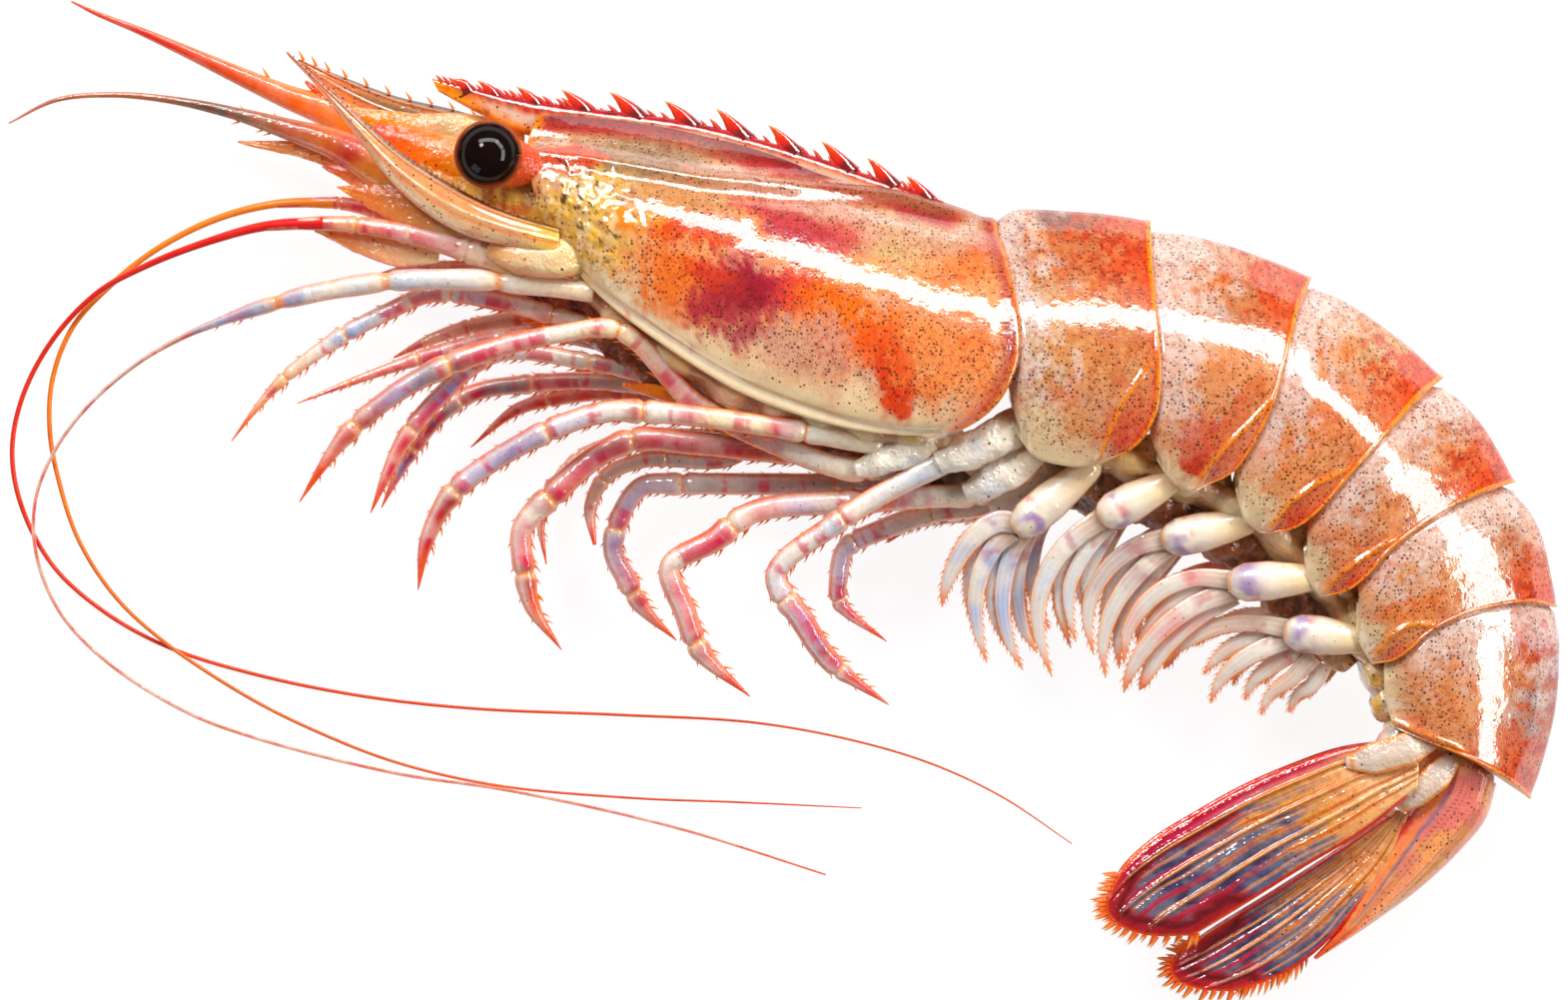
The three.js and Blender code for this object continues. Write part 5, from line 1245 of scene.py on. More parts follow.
def addSwimmer(k, look, side):
    name = "pleopod_%d_%s" % (k + 1, "near" if side > 0 else "far")
    root, last = look["stem"][0], look["stem"][-1]
    reach = np.array([root[0] - last[0], root[1] - last[1]])
    outline = [
        [*(last[:2] + reach * share), size]
        for share, size in (
            (1.12, 0.5), (1.04, 1.2), (0.8, 1.6), (0.45, 2), (0.16, 1.95), (0.03, 1.5), (-0.05, 0.9),
        )
    ]
    stem, facts = tube(swimmerPlaces(k, look, side, outline, 0), 80, 28, 0.9)
    grid = facts["grid"]
    spot = ease(-0.15, 0.2, grain(stem, 2.4, 2, 50 + k + side)) * bump(0.8, 0.13, grid)
    # Painted highlight: a near-white line along the upper side of the stem stands in for a reflection.
    paintedHighlight = bump(2.0, 0.2, facts["angle"])[None] * ease(0.1, 0.3, grid) * ease(0.95, 0.85, grid)
    colour = coats(plain("cream", stem), [
        ("milk", 0.8 * ease(0.2, 0.6, grid)),
        ("violet", 0.85 * spot),
        ("magenta", 0.5 * ease(0.1, 0.35, grain(stem, 1.6, 2, 80 + k)) * bump(0.72, 0.06, grid)),
        (tone(255, 252, 248), 0.6 * paintedHighlight),
        ("amber", 0.6 * ease(0.88, 1, facts["rim"]) * ease(0.2, 0.5, grid)),
        ("amber", 0.8 * bump(0.985, 0.014, grid)),
    ])
    solids = [(stem, skin(colour, 0.1))]
    rows = []
    for b, (places, sink) in enumerate(bladePlaces(look)):
        slim = np.linspace(1.0, 0.78, len(places))
        wide = [[x, y, r * thin] for (x, y, r), thin in zip(places, slim)]
        blade, facts = tube(swimmerPlaces(k, look, side, wide, sink, places[0]), 110, 26, 0.3)
        grid, edge = facts["grid"], facts["rim"]
        stripes = 0.5 + 0.5 * np.cos(np.cos(facts["angle"]) * 15)[None] * np.ones_like(grid)
        tint = ease(0.05, 0.3, grid) * ease(1.0, 0.55, grid) * ease(-0.4, 0.3, grain(blade, 4, 2, k + b))
        colour = coats(plain("milk", blade), [
            ("grey", 0.75 * ease(0.1, 0.6, grid)),
            (look["tint"], 0.8 * tint),
            ("milk", 0.55 * stripes * ease(0.1, 0.4, grid)),
            ("paleOrange", 0.6 * ease(0.55, 0.9, edge) * ease(0.1, 0.7, grid)),
            ("orange", 0.85 * ease(0.9, 0.98, edge) * ease(0.1, 0.3, grid)),
            ("orange", 0.85 * ease(0.8, 0.97, grid)),
            # Painted shade: brown at the root of each blade, where the blades crowd together at the stem.
            ("brown", 0.6 * ease(0.3, 0.05, grid + 0.1 * stripes)),
            ("berry", 0.45 * bump(0.2, 0.07, grid) * ease(-0.1, 0.3, grain(blade, 1.6, 2, b))),
        ])
        lengthwise = 0.05 * stripes * ease(0.02, 0.2, grid) * ease(1, 0.8, grid)
        blade = blade + ringNormals(blade) * lengthwise[..., None]
        solids.append((blade, skin(colour, 0.12)))
        for i in range(44, 108, 5):
            for way in (1, -1):
                ahead, aside = facts["ahead"][i], facts["aside"][i]
                point = facts["centre"][i] + way * aside * facts["radius"][i] * 0.95
                rows.append((point, ahead + 0.4 * way * aside, ahead, 0.6 + 0.3 * (i % 2)))
    addSolids(pieceName(name, "paddle"), solids, limbFinish, [name])
    return rows


print("swimming legs")
fringeRows = []
for k, look in enumerate(swimmers):
    for side in (1, -1):
        fringeRows += addSwimmer(k, look, side)
addSpines("paddleFringe", fringeRows, {
    "length": 0.85, "girth": 0.09, "hook": 0.05, "sides": 5, "steps": 3,
}, bristleFinish)

# soft underside


def undersideRings(places, depth, widths, plane, count=90, sides=40):
    u = unit(count)
    centre = along(places, u)
    centre[:, 2] = np.interp(u, [0, 1], plane)
    ahead = np.gradient(centre[:, :2], axis=0)
    ahead /= np.linalg.norm(ahead, axis=1, keepdims=True)
    down = np.column_stack([ahead[:, 1], -ahead[:, 0], np.zeros(count)])
    size = np.sqrt(np.sin(np.pi * (0.16 + 0.68 * u)))
    size = size * np.minimum(1, ease(-0.02, 0.05, u)) * np.minimum(1, ease(1.02, 0.95, u))
    size = np.maximum(size, 0.02)
    angle = circle(sides)
    width = level(u, widths)
    rings = centre[:, None] + (depth * size)[:, None, None] * np.cos(angle)[None, :, None] * down[:, None]
    rings = rings + (width * size)[:, None, None] * np.sin(angle)[None, :, None] * np.array([0, 0, 1.0])
    return rings, u


def addUndersides():
    belly = [
        [25.2, 5.2], [30, 4.4], [36, 3.4], [42, 1], [47.6, -2], [52.8, -6.6], [56.4, -11.6], [59.4, -17],
        [60.8, -21],
    ]
    for name, node, places, depth, widths, plane in (
        ("thoraxFlesh", "thorax", sternum, 1.9, [3, 5.5, 6.4, 6.6, 6.4], [eye["plane"]] * 2),
        ("bellyFlesh", "belly", belly, 2.0, [6.4, 6.2, 5.4, 4.6, 3.4], [9.1, tailHalfWidth - restDepth]),
    ):
        rings, u = undersideRings(places, depth, widths, plane)
        height = 0.5 * grain(rings, 3.5, 2, 8) + 0.2 * grain(rings, 1.3, 2, 9)
        lumps = 0.35 * np.cos(u * 2 * np.pi * 9)[:, None]
        rings = rings + ringNormals(rings) * (height + lumps)[..., None] * 0.6
        colour = coats(plain("cream", rings), [
            ("yolk", 0.5 * ease(0, 0.5, grain(rings, 4, 2, 2))),
            # Painted shade: brown in the hollows between the lumps.
            ("brown", 0.6 * ease(0.3, -0.3, np.cos(u * 2 * np.pi * 9))[:, None]),
        ])
        addSolids(name, [(rings, skin(colour))], fleshFinish, [node])


def ball(centre, radii, count=26, sides=30):
    polar = np.linspace(0.03, math.pi - 0.03, count)[:, None]
    angle = circle(sides)[None]
    x, y = np.sin(polar) * np.cos(angle), np.sin(polar) * np.sin(angle)
    shape = np.stack([x, y, np.cos(polar) * np.ones_like(angle)], -1)
    return np.array(centre) + shape * np.array(radii)


# soft lobes that show between the legs and below the plates: place, half width
lobes = [
    (25.3, 7.6, 1.9), (27.2, 5.4, 2.2), (30, 4.9, 2), (33, 3.6, 1.7), (36.4, 3.2, 1.8), (39.6, 2.2, 1.9),
    (42.6, 0.6, 1.7), (45.6, -0.8, 1.8), (48.4, -2.6, 1.8), (50.6, -5, 1.7), (53, -7.2, 1.8),
    (55.2, -9.8, 1.7),
    (56.8, -12.4, 1.7), (58.4, -15.2, 1.8), (59.6, -18.2, 1.6), (60.6, -21.2, 1.6), (62, -23.6, 1.7),
]
# Brown beds under the roots of the legs and of the swimming legs: partly soft membrane, partly painted shade that
# fills the gaps between the limbs.
rootShadeBed = [
    [-27, 22.4, 8.3, 0.9], [-21, 19.6, 8.3, 2.2], [-14, 14.6, 8.6, 2.8], [-6, 9.8, 8.8, 2.9],
    [2, 7.2, 8.8, 2.9], [11, 5, 8.8, 3.1], [20, 2.6, 8.8, 3.2], [24.5, 3.4, 8.8, 2.4],
]
bellyShadeBed = [
    [23, 4, 8.8, 2.4], [29, 2.2, 8.6, 3.2], [35.5, 0.8, 8.4, 3.2], [41.5, -1.6, 8, 3.2], [46.5, -4.8, 7.6, 3.1],
    [50.8, -9, 7.2, 3], [54.4, -13.4, 6.8, 2.4], [57, -16.6, 6.6, 1.2],
]
mouthStrips = {"count": 20, "first": 0.06, "last": 0.86, "aim": (-0.92, 0.4), "length": 15, "girth": 0.95}
coxae = [
    # soft, pale bases of the last legs
    [[25.4, 9, 12.6, 1.5], [22.2, 6.8, 14.2, 2.1], [18.4, 4.8, 14.6, 1.9], [15.4, 3.6, 14.2, 1.2]],
    [[26.4, 6.8, 11.6, 1.4], [23.8, 4, 12.6, 2], [20.6, 1.8, 12.8, 1.8], [18.2, 0.7, 12.2, 1.1]],
    [[17.4, 7.4, 12.6, 1.2], [13.6, 5.6, 14, 1.7], [9.6, 3.8, 14, 1.5], [7.2, 3, 13.6, 0.9]],
    [[27.6, 5.4, 9.2, 1.2], [25, 2.2, 9.8, 1.7], [22.4, 0.2, 9.8, 1.5], [20.6, -0.8, 9.4, 0.8]],
]


def addLobes():
    solids = []
    for k, (x, y, r) in enumerate(lobes):
        for side in (1, -1):
            z = 9 - 0.08 * max(x - 20, 0) + side * 3.4
            blob = ball((x + 0.4, y + 1.0, z), (r * 1.15, r * 1.25, r * 1.1))
            blob = blob + ringNormals(blob) * (0.8 * grain(blob, 2.4, 3, 9))[..., None]
            colour = coats(plain("cream", blob), [
                ("yolk", ease(0.0, 0.5, grain(blob, 3, 2, 3))),
                ("apricot", 0.7 * ease(0.2, -0.9, (blob[..., 1] - y) / r)),
            ])
            solids.append((blob, skin(colour, 0.3)))
    addSolids("softLobes", solids, fleshFinish)
    for name, places, stops in (
        ("legRootShadeBed", rootShadeBed, "0 rust, 40 brown, 75 brown, 90 sand, 100 cream"),
        ("paddleRootShadeBed", bellyShadeBed, "0 sand, 30 brown, 80 brown, 100 cream"),
    ):
        bed, facts = tube(places, 200, 40, 0.6)
        folds = grain(bed, 2.2, 3, 77)
        bed = bed + ringNormals(bed) * (0.6 * folds)[..., None]
        grid = facts["grid"]
        colour = tonesAlong(stops, grid)
        # Painted shade: darker brown in the hollows of the folds.
        colour = blend(colour, tones["darkBrown"], 0.7 * ease(0.15, -0.25, folds))
        addSolids(name, [(bed, skin(colour, 0.4))], fleshFinish)
    solids = []
    for k, places in enumerate(coxae):
        coxa, facts = tube(places, 60, 30, 0.85)
        coxa = coxa + ringNormals(coxa) * (0.3 * grain(coxa, 2, 2, k))[..., None]
        grid = facts["grid"]
        colour = coats(plain("cream", coxa), [
            ("milk", ease(0.1, 0.6, grid)),
            ("skyGrey", 0.5 * ease(0, 0.5, grain(coxa, 2.4, 2, k + 5))),
            ("apricot", 0.6 * ease(0.85, 1, facts["rim"]) * ease(0, 0.2, grid)),
        ])
        solids.append((coxa, skin(colour, 0.15)))
    addSolids("legCoxae", solids, fleshFinish)


def addMouthStrips():
    # slender limb bases lie side by side under the head and fan out towards the mouth
    solids = []
    look = mouthStrips
    shares = np.linspace(look["first"], look["last"], look["count"])
    for k, start in enumerate(along(sternum, shares)):
        reach = look["length"] * (0.75 + 0.35 * math.sin(2.3 * k))
        turn = 0.10 * math.sin(1.7 * k + 1)
        aim = np.array([look["aim"][0], look["aim"][1] + turn])
        z = 6.6 + 3.2 * math.sin(2.9 * k + 0.5)
        side = np.array([0.0, -1.3 + 0.9 * math.sin(4.1 * k)])
        places = []
        for share, size in ((-0.15, 0.8), (0.2, 1.1), (0.5, 1.0), (0.8, 0.75), (1.0, 0.2)):
            x, y = start[:2] + side + aim * reach * share + np.array([0, -1.6 * share**2])
            places.append([x, y, z, look["girth"] * size])
        strip, facts = tube(places, 90, 16, 0.7)
        grid = facts["grid"]
        stops = (
            "0 brown, 40 rust, 80 amber, 100 orange",
            "0 brown, 35 sand, 70 cream, 100 apricot",
            "0 darkBrown, 40 brown, 80 apricot, 100 amber",
        )[k % 3]
        colour = tonesAlong(stops, grid)
        edge = ease(0.8, 0.98, facts["rim"]) * np.ones_like(grid)
        colour = coats(colour, [
            ("rust", 0.8 * edge),
            ("red", 0.7 * ease(0.25, 0.45, grain(strip, 1.6, 2, k))),
        ])
        solids.append((strip, skin(colour, 0.3)))
    addSolids("mouthStrips", solids, limbFinish)


print("underside")
addUndersides()
addLobes()
addMouthStrips()

# tail fan

telson = {
    "front": [[71.5, -28.5], [69, -27.1], [65.3, -25.9]],
    "back": [[71.5, -28.5], [70.4, -32], [68, -35], [64, -38.8], [59, -42.5], [53.5, -46.1]],
    "edge": [[65.3, -25.9], [64.7, -28], [62, -32], [59, -37.2], [55.6, -43], [53.1, -45.9]],
    "rear": [[53.5, -46.1], [53.1, -45.9]],
    "halfWidths": [3.1, 3.0, 2.6, 2.0, 1.0],
}


def addTelson():
    u = unit(260)
    angle = circle(120)
    t = 0.5 - 0.5 * np.cos(angle)
    order = np.argsort(t)
    place = patch(telson, u, t[order])[:, np.argsort(order)]
    half = level(u, telson["halfWidths"])[:, None]
    rings = place.copy()
    ridge = 0.22 * bump(0.28, 0.05, t) + 0.22 * bump(0.66, 0.05, t) - 0.18 * bump(0.47, 0.08, t)
    rings[..., 2] = tailHalfWidth - restDepth + 0.5 + np.sign(np.sin(angle))[None] * (
        half * np.abs(np.sin(angle))[None] ** 0.8 + ridge[None] * ease(1, 0.8, u)[:, None]
    )
    breadth, length = np.broadcast_to(t[None], rings.shape[:2]), np.broadcast_to(u[:, None], rings.shape[:2])
    rough = 0.06 * grain(rings, 1.5, 3, 5)
    rowOfDots = sum(bump(0.28 + 0.075 * i, 0.007, breadth) for i in range(5))
    rowOfDots = rowOfDots * ease(0.1, 0.6, np.cos(length * 2 * np.pi * 46 + 40 * breadth))
    rowOfDots = rowOfDots * ease(0.05, 0.15, length) * ease(0.8, 0.5, length)
    slate = bump(0.7, 0.032, breadth + 0.35 * rough)
    colour = coats(plain("peach", rings), [
        ("pink", 0.75 * ease(0.85, 0.4, length) * ease(-0.5, 0.3, grain(rings, 3, 2, 6))),
        ("apricot", 0.45 * ease(0.4, 0.1, breadth) * ease(0.1, 0.4, length)),
        ("slate", 0.8 * slate * ease(0.05, 0.3, length) * ease(0.95, 0.7, length)),
        ("coral", 0.8 * bump(0.8, 0.05, breadth)),
        ("red", 0.95 * ease(0.86, 0.93, breadth + rough)),
        ("ember", 0.8 * ease(0.06, 0.01, breadth + 0.5 * rough)),
        ("darkRed", 0.8 * rowOfDots),
        ("flame", 0.9 * ease(0.72, 0.95, length + rough)),
    ])
    coat = skin(colour, 0.4, 0.35 * bump(0.3, 0.2, breadth) + 0.1)
    addSolids("telsonShell", [(rings, coat)], shellFinish, ["telson"])


outerBlade = {
    "ribs": (0.2, 0.44, 0.7), "marginFrom": 0.5,
    "front": [[62, -24], [63.4, -26], [63.4, -29]],
    "back": [
        [62, -24], [56, -24.8], [51, -26.5], [46, -28.7], [41, -31.5], [37, -34], [34, -36.8], [32.6, -39.3],
    ],
    "rear": [[32.6, -39.3], [32.2, -40.8], [33.4, -42.5], [36.5, -43.6], [41, -43.6]],
    "edge": [[63.4, -29], [58, -33.2], [52, -36.8], [45, -41.2], [41, -43.6]],
}
innerBlade = {
    "ribs": (0.3, 0.52, 0.76), "marginFrom": 0.7,
    "front": [[61.4, -31], [62.6, -31.6]],
    "back": [[61.4, -31], [56, -34.8], [49, -39.3], [43, -43], [39.5, -45.5]],
    "rear": [[39.5, -45.5], [38.7, -46.8], [39.4, -48.2], [41.8, -49.1], [45, -49.3]],
    "edge": [[62.6, -31.6], [61, -36], [57, -41.5], [53, -45.6], [49.5, -47.8], [45, -49.3]],
}
# name, outlines, heights at root and tip, thickness, how far its lower spines reach and how many they are
fan = [
    ("uropod_outer_near", outerBlade, (10.6, 9.6), 0.9, 0.96, 4),
    ("uropod_inner_near", innerBlade, (8.0, 7.0), 0.8, 0.66, 12),
    ("uropod_inner_far", innerBlade, (2.4, 2.2), 0.7, 0.6, 16),
    ("uropod_outer_far", outerBlade, (1, 1), 0.8, 0.96, 4),
]


def addFanBlade(name, blade, heights, thickness, fringeEnd, fringeCount, seed):
    count, across = 210, 130
    u, t = unit(count), unit(across)
    place = patch(blade, u, t)
    length, breadth = np.broadcast_to(u[:, None], place.shape[:2]), np.broadcast_to(t[None], place.shape[:2])
    middle = heights[0] + (heights[1] - heights[0]) * length
    rim = np.minimum(np.minimum(breadth, 1 - breadth) * 14, (1 - length) * 20)
    thick = thickness / 2 * (1 - 0.35 * length) * np.sqrt(np.clip(rim, 0.04, 1))
    ribs = sum(0.24 * bump(r, 0.018, breadth) - 0.08 * bump(r + 0.05, 0.03, breadth) for r in blade["ribs"])
    drift = 1.6 * grain(place * np.array([0.35, 0.35, 1]), 3, 2, seed + 9)
    veins = np.cos(breadth * 2 * np.pi * 5 + drift)
    hair = np.cos(breadth * 2 * np.pi * 29 + 2.2 * drift)
    fine = 0.045 * veins * ease(0.1, 0.4, length) + 0.01 * hair
    wave = 0.35 * grain(place, 9, 2, seed + 2) * length
    upper, lower = place.copy(), place.copy()
    upper[..., 2] = middle + thick + (ribs + fine) * np.clip(rim, 0, 1) + wave
    lower[..., 2] = np.maximum(middle - thick - fine * np.clip(rim, 0, 1) + wave, 0.02)
    rings = np.concatenate([upper, lower[:, ::-1]], axis=1)
    length, breadth, veins, hair = (np.concatenate([a, a[:, ::-1]], 1) for a in (length, breadth, veins, hair))
    back = along(blade["back"], np.linspace(blade["marginFrom"], 1, 24))
    low = along(blade["edge"], np.linspace(1, blade["marginFrom"] + 0.25, 16))
    tip = np.vstack([back, along(blade["rear"], unit(24)), low])[:, :2]
    margin = nearLine(rings, tip)
    outline = np.vstack([along(blade["back"], np.linspace(0.05, 1, 40)), along(blade["rear"], unit(24)),
                         along(blade["edge"], np.linspace(1, 0.05, 40))])[:, :2]
    brink = nearLine(rings, outline)
    rough = grain(rings * np.array([0.5, 0.9, 1]), 2.2, 3, seed + 5)
    flow = length + 0.16 * rough
    blue = ease(0.3, 0.55, flow - 0.12 * veins) * ease(1.1, 2.2, margin + 0.5 * rough)
    colour = coats(plain("apricot", rings), [
        ("ochre", ease(-0.2, 0.4, grain(rings, 3, 2, seed))),
        ("cream", 0.55 * ease(0.3, 0.0, flow)),
        ("brown", 0.3 * ease(0.25, 0.5, flow) * ease(-0.2, 0.5, hair)),
        ("slate", 0.95 * blue),
        (tone(40, 42, 88), 0.9 * bump(0.74, 0.14, flow + 0.1 * rough) * blue),
        ("berry", 0.9 * ease(0.45, 0.95, veins) * ease(0.45, 0.75, flow)),
        ("rust", 0.75 * ease(0.7, 0.98, veins) * ease(0.6, 0.4, flow)),
        ("peach", 0.6 * ease(0.8, 0.99, -veins) * ease(0.05, 0.3, length)),
        ("darkRed", 0.3 * ease(0.6, 1.0, hair) * ease(0.15, 0.4, length)),
        ("crimson", 0.97 * ease(3.0, 1.7, margin + 0.9 * rough)),
        (tone(96, 4, 18), 0.85 * bump(1.5, 0.55, margin + 0.5 * rough)),
    ])
    if "outer" in name:
        upper = ease(0.2, 0.1, breadth + 0.05 * rough) * ease(0.08, 0.25, length)
        colour = coats(colour, [
            (tone(196, 18, 70), 0.92 * upper),
            ("pink", 0.75 * bump(0.14, 0.03, breadth) * ease(0.1, 0.3, length) * ease(0.7, 0.4, length)),
            ("crimson", 0.95 * ease(0.1, 0.06, breadth)),
            ("slate", 0.35 * bump(0.18, 0.03, breadth) * ease(0.4, 0.1, length)),
        ])
    for r in blade["ribs"]:
        colour = coats(colour, [
            ("amber", 0.8 * bump(r, 0.016, breadth) * ease(1.0, 0.6, length)),
            ("paleOrange", 0.8 * bump(r + 0.004, 0.006, breadth) * ease(0.95, 0.6, length)),
        ])
    colour = coats(colour, [
        ("red", 0.95 * ease(0.45, 0.25, brink)),
        ("orange", 0.7 * ease(0.25, 0.12, brink) * ease(0.6, 0.8, length)),
    ])
    coat = skin(colour, 0.7, 0.35 * ease(0.8, 0.3, length))
    addSolids(pieceName(name, "blade"), [(rings, coat)], finFinish, [name])
    # spines stand around the free end
    rows = []
    rear = along(blade["rear"], unit(16))
    side = along(blade["back"], np.linspace(0.88, 0.985, 5))
    low = along(blade["edge"], np.linspace(1.0, fringeEnd, fringeCount))
    route = np.vstack([side, rear[1:], low[1:]])
    centre = place[int(count * 0.8), across // 2]
    z = heights[1]
    for k in range(1, len(route) - 1):
        ahead = route[k + 1] - route[k - 1]
        out = np.array([-ahead[1], ahead[0], 0])
        out /= np.linalg.norm(out)
        if (out * (route[k] - centre)).sum() < 0:
            out = -out
        tipward = np.array([-0.85, -0.45, 0])
        size = 0.6 + 0.6 * abs(math.sin(k * 1.9 + seed))
        rows.append((route[k] * [1, 1, 0] + [0, 0, z + wave[-1, 0]], out + 0.7 * tipward, tipward, size))
    return rows


print("tail fan")
addTelson()
fanRows = []
for k, blade in enumerate(fan):
    fanRows += addFanBlade(*blade, 3.0 * k)
addSpines("fanFringe", fanRows, {
    "length": 1.3, "girth": 0.26, "hook": 0.1, "sides": 6, "steps": 4,
}, fringeFinish)

fanBase = [[62.6, -22.4, 1.6], [61.6, -24.6, 2.1], [60.2, -26.4, 1.9]]
for side in (1, -1):
    places = [[x, y, tailHalfWidth - restDepth + side * 3.3, r] for x, y, r in fanBase]
    rings, facts = tube(places, 50, 30, 0.7)
    grid = facts["grid"]
    colour = coats(plain("milk", rings), [
        ("grey", 0.5 * ease(0, 0.5, grain(rings, 2, 2))),
        ("orange", 0.8 * ease(0.86, 1.0, facts["rim"]) * ease(0.1, 0.4, grid)),
    ])
    name = "fan_base_" + ("near" if side > 0 else "far")
    addSolids(pieceName(name, "knuckle"), [(rings, skin(colour, 0.2))], limbFinish, [name])

tailJoint = {
    "plug": [[67.5, -22.5, 6.2, 4.2], [67.3, -26, 6.4, 3.9], [67.8, -29.4, 6.5, 3.2], [67, -32, 6.6, 2.2]],
    "shields": [
        [[65.4, -23.6, 10.6, 1], [62.4, -24.9, 11.4, 1.7], [58.8, -25.9, 11.3, 1.6], [56.2, -26.3, 10.9, 0.6]],
        [[67.2, -25.6, 9.4, 0.9], [65.4, -27.6, 10.2, 1.5], [63.2, -29.6, 9.9, 1.3], [61.6, -31, 9.4, 0.5]],
    ],
}


def addTailJoint():
    plug, facts = tube(tailJoint["plug"], 60, 40, 0.8)
    plug = plug + ringNormals(plug) * (0.25 * grain(plug, 2, 2, 4))[..., None]
    grid = facts["grid"]
    colour = tonesAlong("0 cream, 35 paleOrange, 50 ember, 60 peach, 100 pink", grid)
    solids = [(plug, skin(colour, 0.4))]
    for places in tailJoint["shields"]:
        shield, facts = tube(places, 60, 34, 0.26)
        shield = shield + ringNormals(shield) * (0.04 * grain(shield, 1.6, 2, 4))[..., None]
        grid = facts["grid"]
        rim = ease(0.72, 0.86, facts["rim"]) + bump(0.93, 0.03, grid) + bump(0.03, 0.03, grid)
        colour = coats(plain("glass", shield), [
            ("sand", 0.35 * ease(-0.2, 0.4, grain(shield, 1.8, 2, 6))),
            # Painted highlight: a milky band along the upper side of each shield stands in for a reflection.
            ("milk", 0.4 * bump(1.7, 0.35, facts["angle"])[None] * np.ones_like(grid)),
            ("amber", 0.85 * rim),
        ])
        solids.append((shield, skin(colour, 0.06)))
    addSolids("tailJoint", solids, fleshFinish)


addTailJoint()

# head


def flatBlade(places, flat, paint, count=90, sides=24):
    rings, facts = tube(places, count, sides, flat)
    grid = facts["grid"]
    return rings, facts, grid, paint(rings, facts, grid)


def addScale(name, outlines, heights, thickness, seed, dark, spines):
    count, across = 120, 40
    u, t = unit(count), unit(across)
    place = patch(outlines, u, t)
    length, breadth = np.broadcast_to(u[:, None], place.shape[:2]), np.broadcast_to(t[None], place.shape[:2])
    middle = heights[0] + (heights[1] - heights[0]) * length
    rim = np.clip(np.minimum(np.minimum(breadth, 1 - breadth) * 9, length * 14), 0.05, 1)
    upper, lower = place.copy(), place.copy()
    crown = 0.9 * np.sin(np.pi * breadth) * (1 - 0.7 * length) * ease(-0.05, 0.15, length)
    ridge = 0.3 * bump(0.12, 0.05, breadth) + 0.1 * bump(0.5, 0.05, breadth)
    upper[..., 2] = middle + thickness / 2 * np.sqrt(rim) + crown + ridge
    lower[..., 2] = middle - thickness / 2 * np.sqrt(rim) + 0.6 * crown
    rings = np.concatenate([upper, lower[:, ::-1]], axis=1)
    length, breadth = (np.concatenate([grid, grid[:, ::-1]], 1) for grid in (length, breadth))
    rough = 0.06 * grain(rings, 2, 3, seed)
    colour = coats(plain("peach", rings), [
        ("cream", 0.7 * ease(0.3, 0.7, breadth + rough)),
        ("salmon", 0.55 * ease(0.1, 0.6, grain(rings, 3, 2, seed + 1))),
        ("olive", 0.95 * dark * bump(0.4, 0.26, breadth + rough) * ease(0.98, 0.7, length)),
        ("yolk", ease(0.14, 0.02, length)),
        ("orange", 0.75 * ease(0.45, 0.95, length + rough)),
        ("coral", 0.8 * bump(0.62, 0.05, breadth + 0.3 * rough)),
        ("orange", 0.6 * ease(0.92, 0.98, breadth + rough)),
        ("darkBrown", 0.92 * ease(0.13, 0.06, breadth + 0.5 * rough) * ease(1.0, 0.75, length)),
    ])
    coat = skin(colour, 0.3, 0.25 + 0.5 * dark)
    addSolids(pieceName(name, "plate"), [(rings, coat)], shellFinish, [name])
    rows = []
    for share in np.linspace(0.08, 0.97, spines):
        point, ahead = station(outlines["back"], share, 0.02)
        out = np.array([ahead[1], -ahead[0], 0])
        z = heights[0] + (heights[1] - heights[0]) * share + 0.3
        size = 0.7 + 0.3 * math.sin(share * 71)
        rows.append((point * [1, 1, 0] + [0, 0, z], out * 0.8 + ahead * 0.8, ahead, size))
    return rows


nearScale = {
    "back": [[-22.5, 27.2], [-29, 29.3], [-34, 32], [-38, 34.5], [-42, 37.8], [-46, 41.4], [-49.6, 44.8]],
    "edge": [
        [-22.2, 24.4], [-27, 25.2], [-32, 26.5], [-36, 28.8], [-39.5, 32], [-42.5, 36], [-45.7, 40.2],
        [-49.8, 44.6],
    ],
    "front": [[-22.5, 27.2], [-22.2, 24.4]], "rear": [[-49.6, 44.8], [-49.8, 44.6]],
}
farScale = {
    "back": [[-27, 37.4], [-33, 39.2], [-39, 40.6], [-45, 42.8], [-48.7, 44.3]],
    "edge": [[-27, 33.5], [-33, 35], [-38, 36.6], [-42, 38.3], [-45.5, 40.8], [-48.9, 44.1]],
    "front": [[-27, 37.4], [-27, 33.5]], "rear": [[-48.7, 44.3], [-48.9, 44.1]],
}


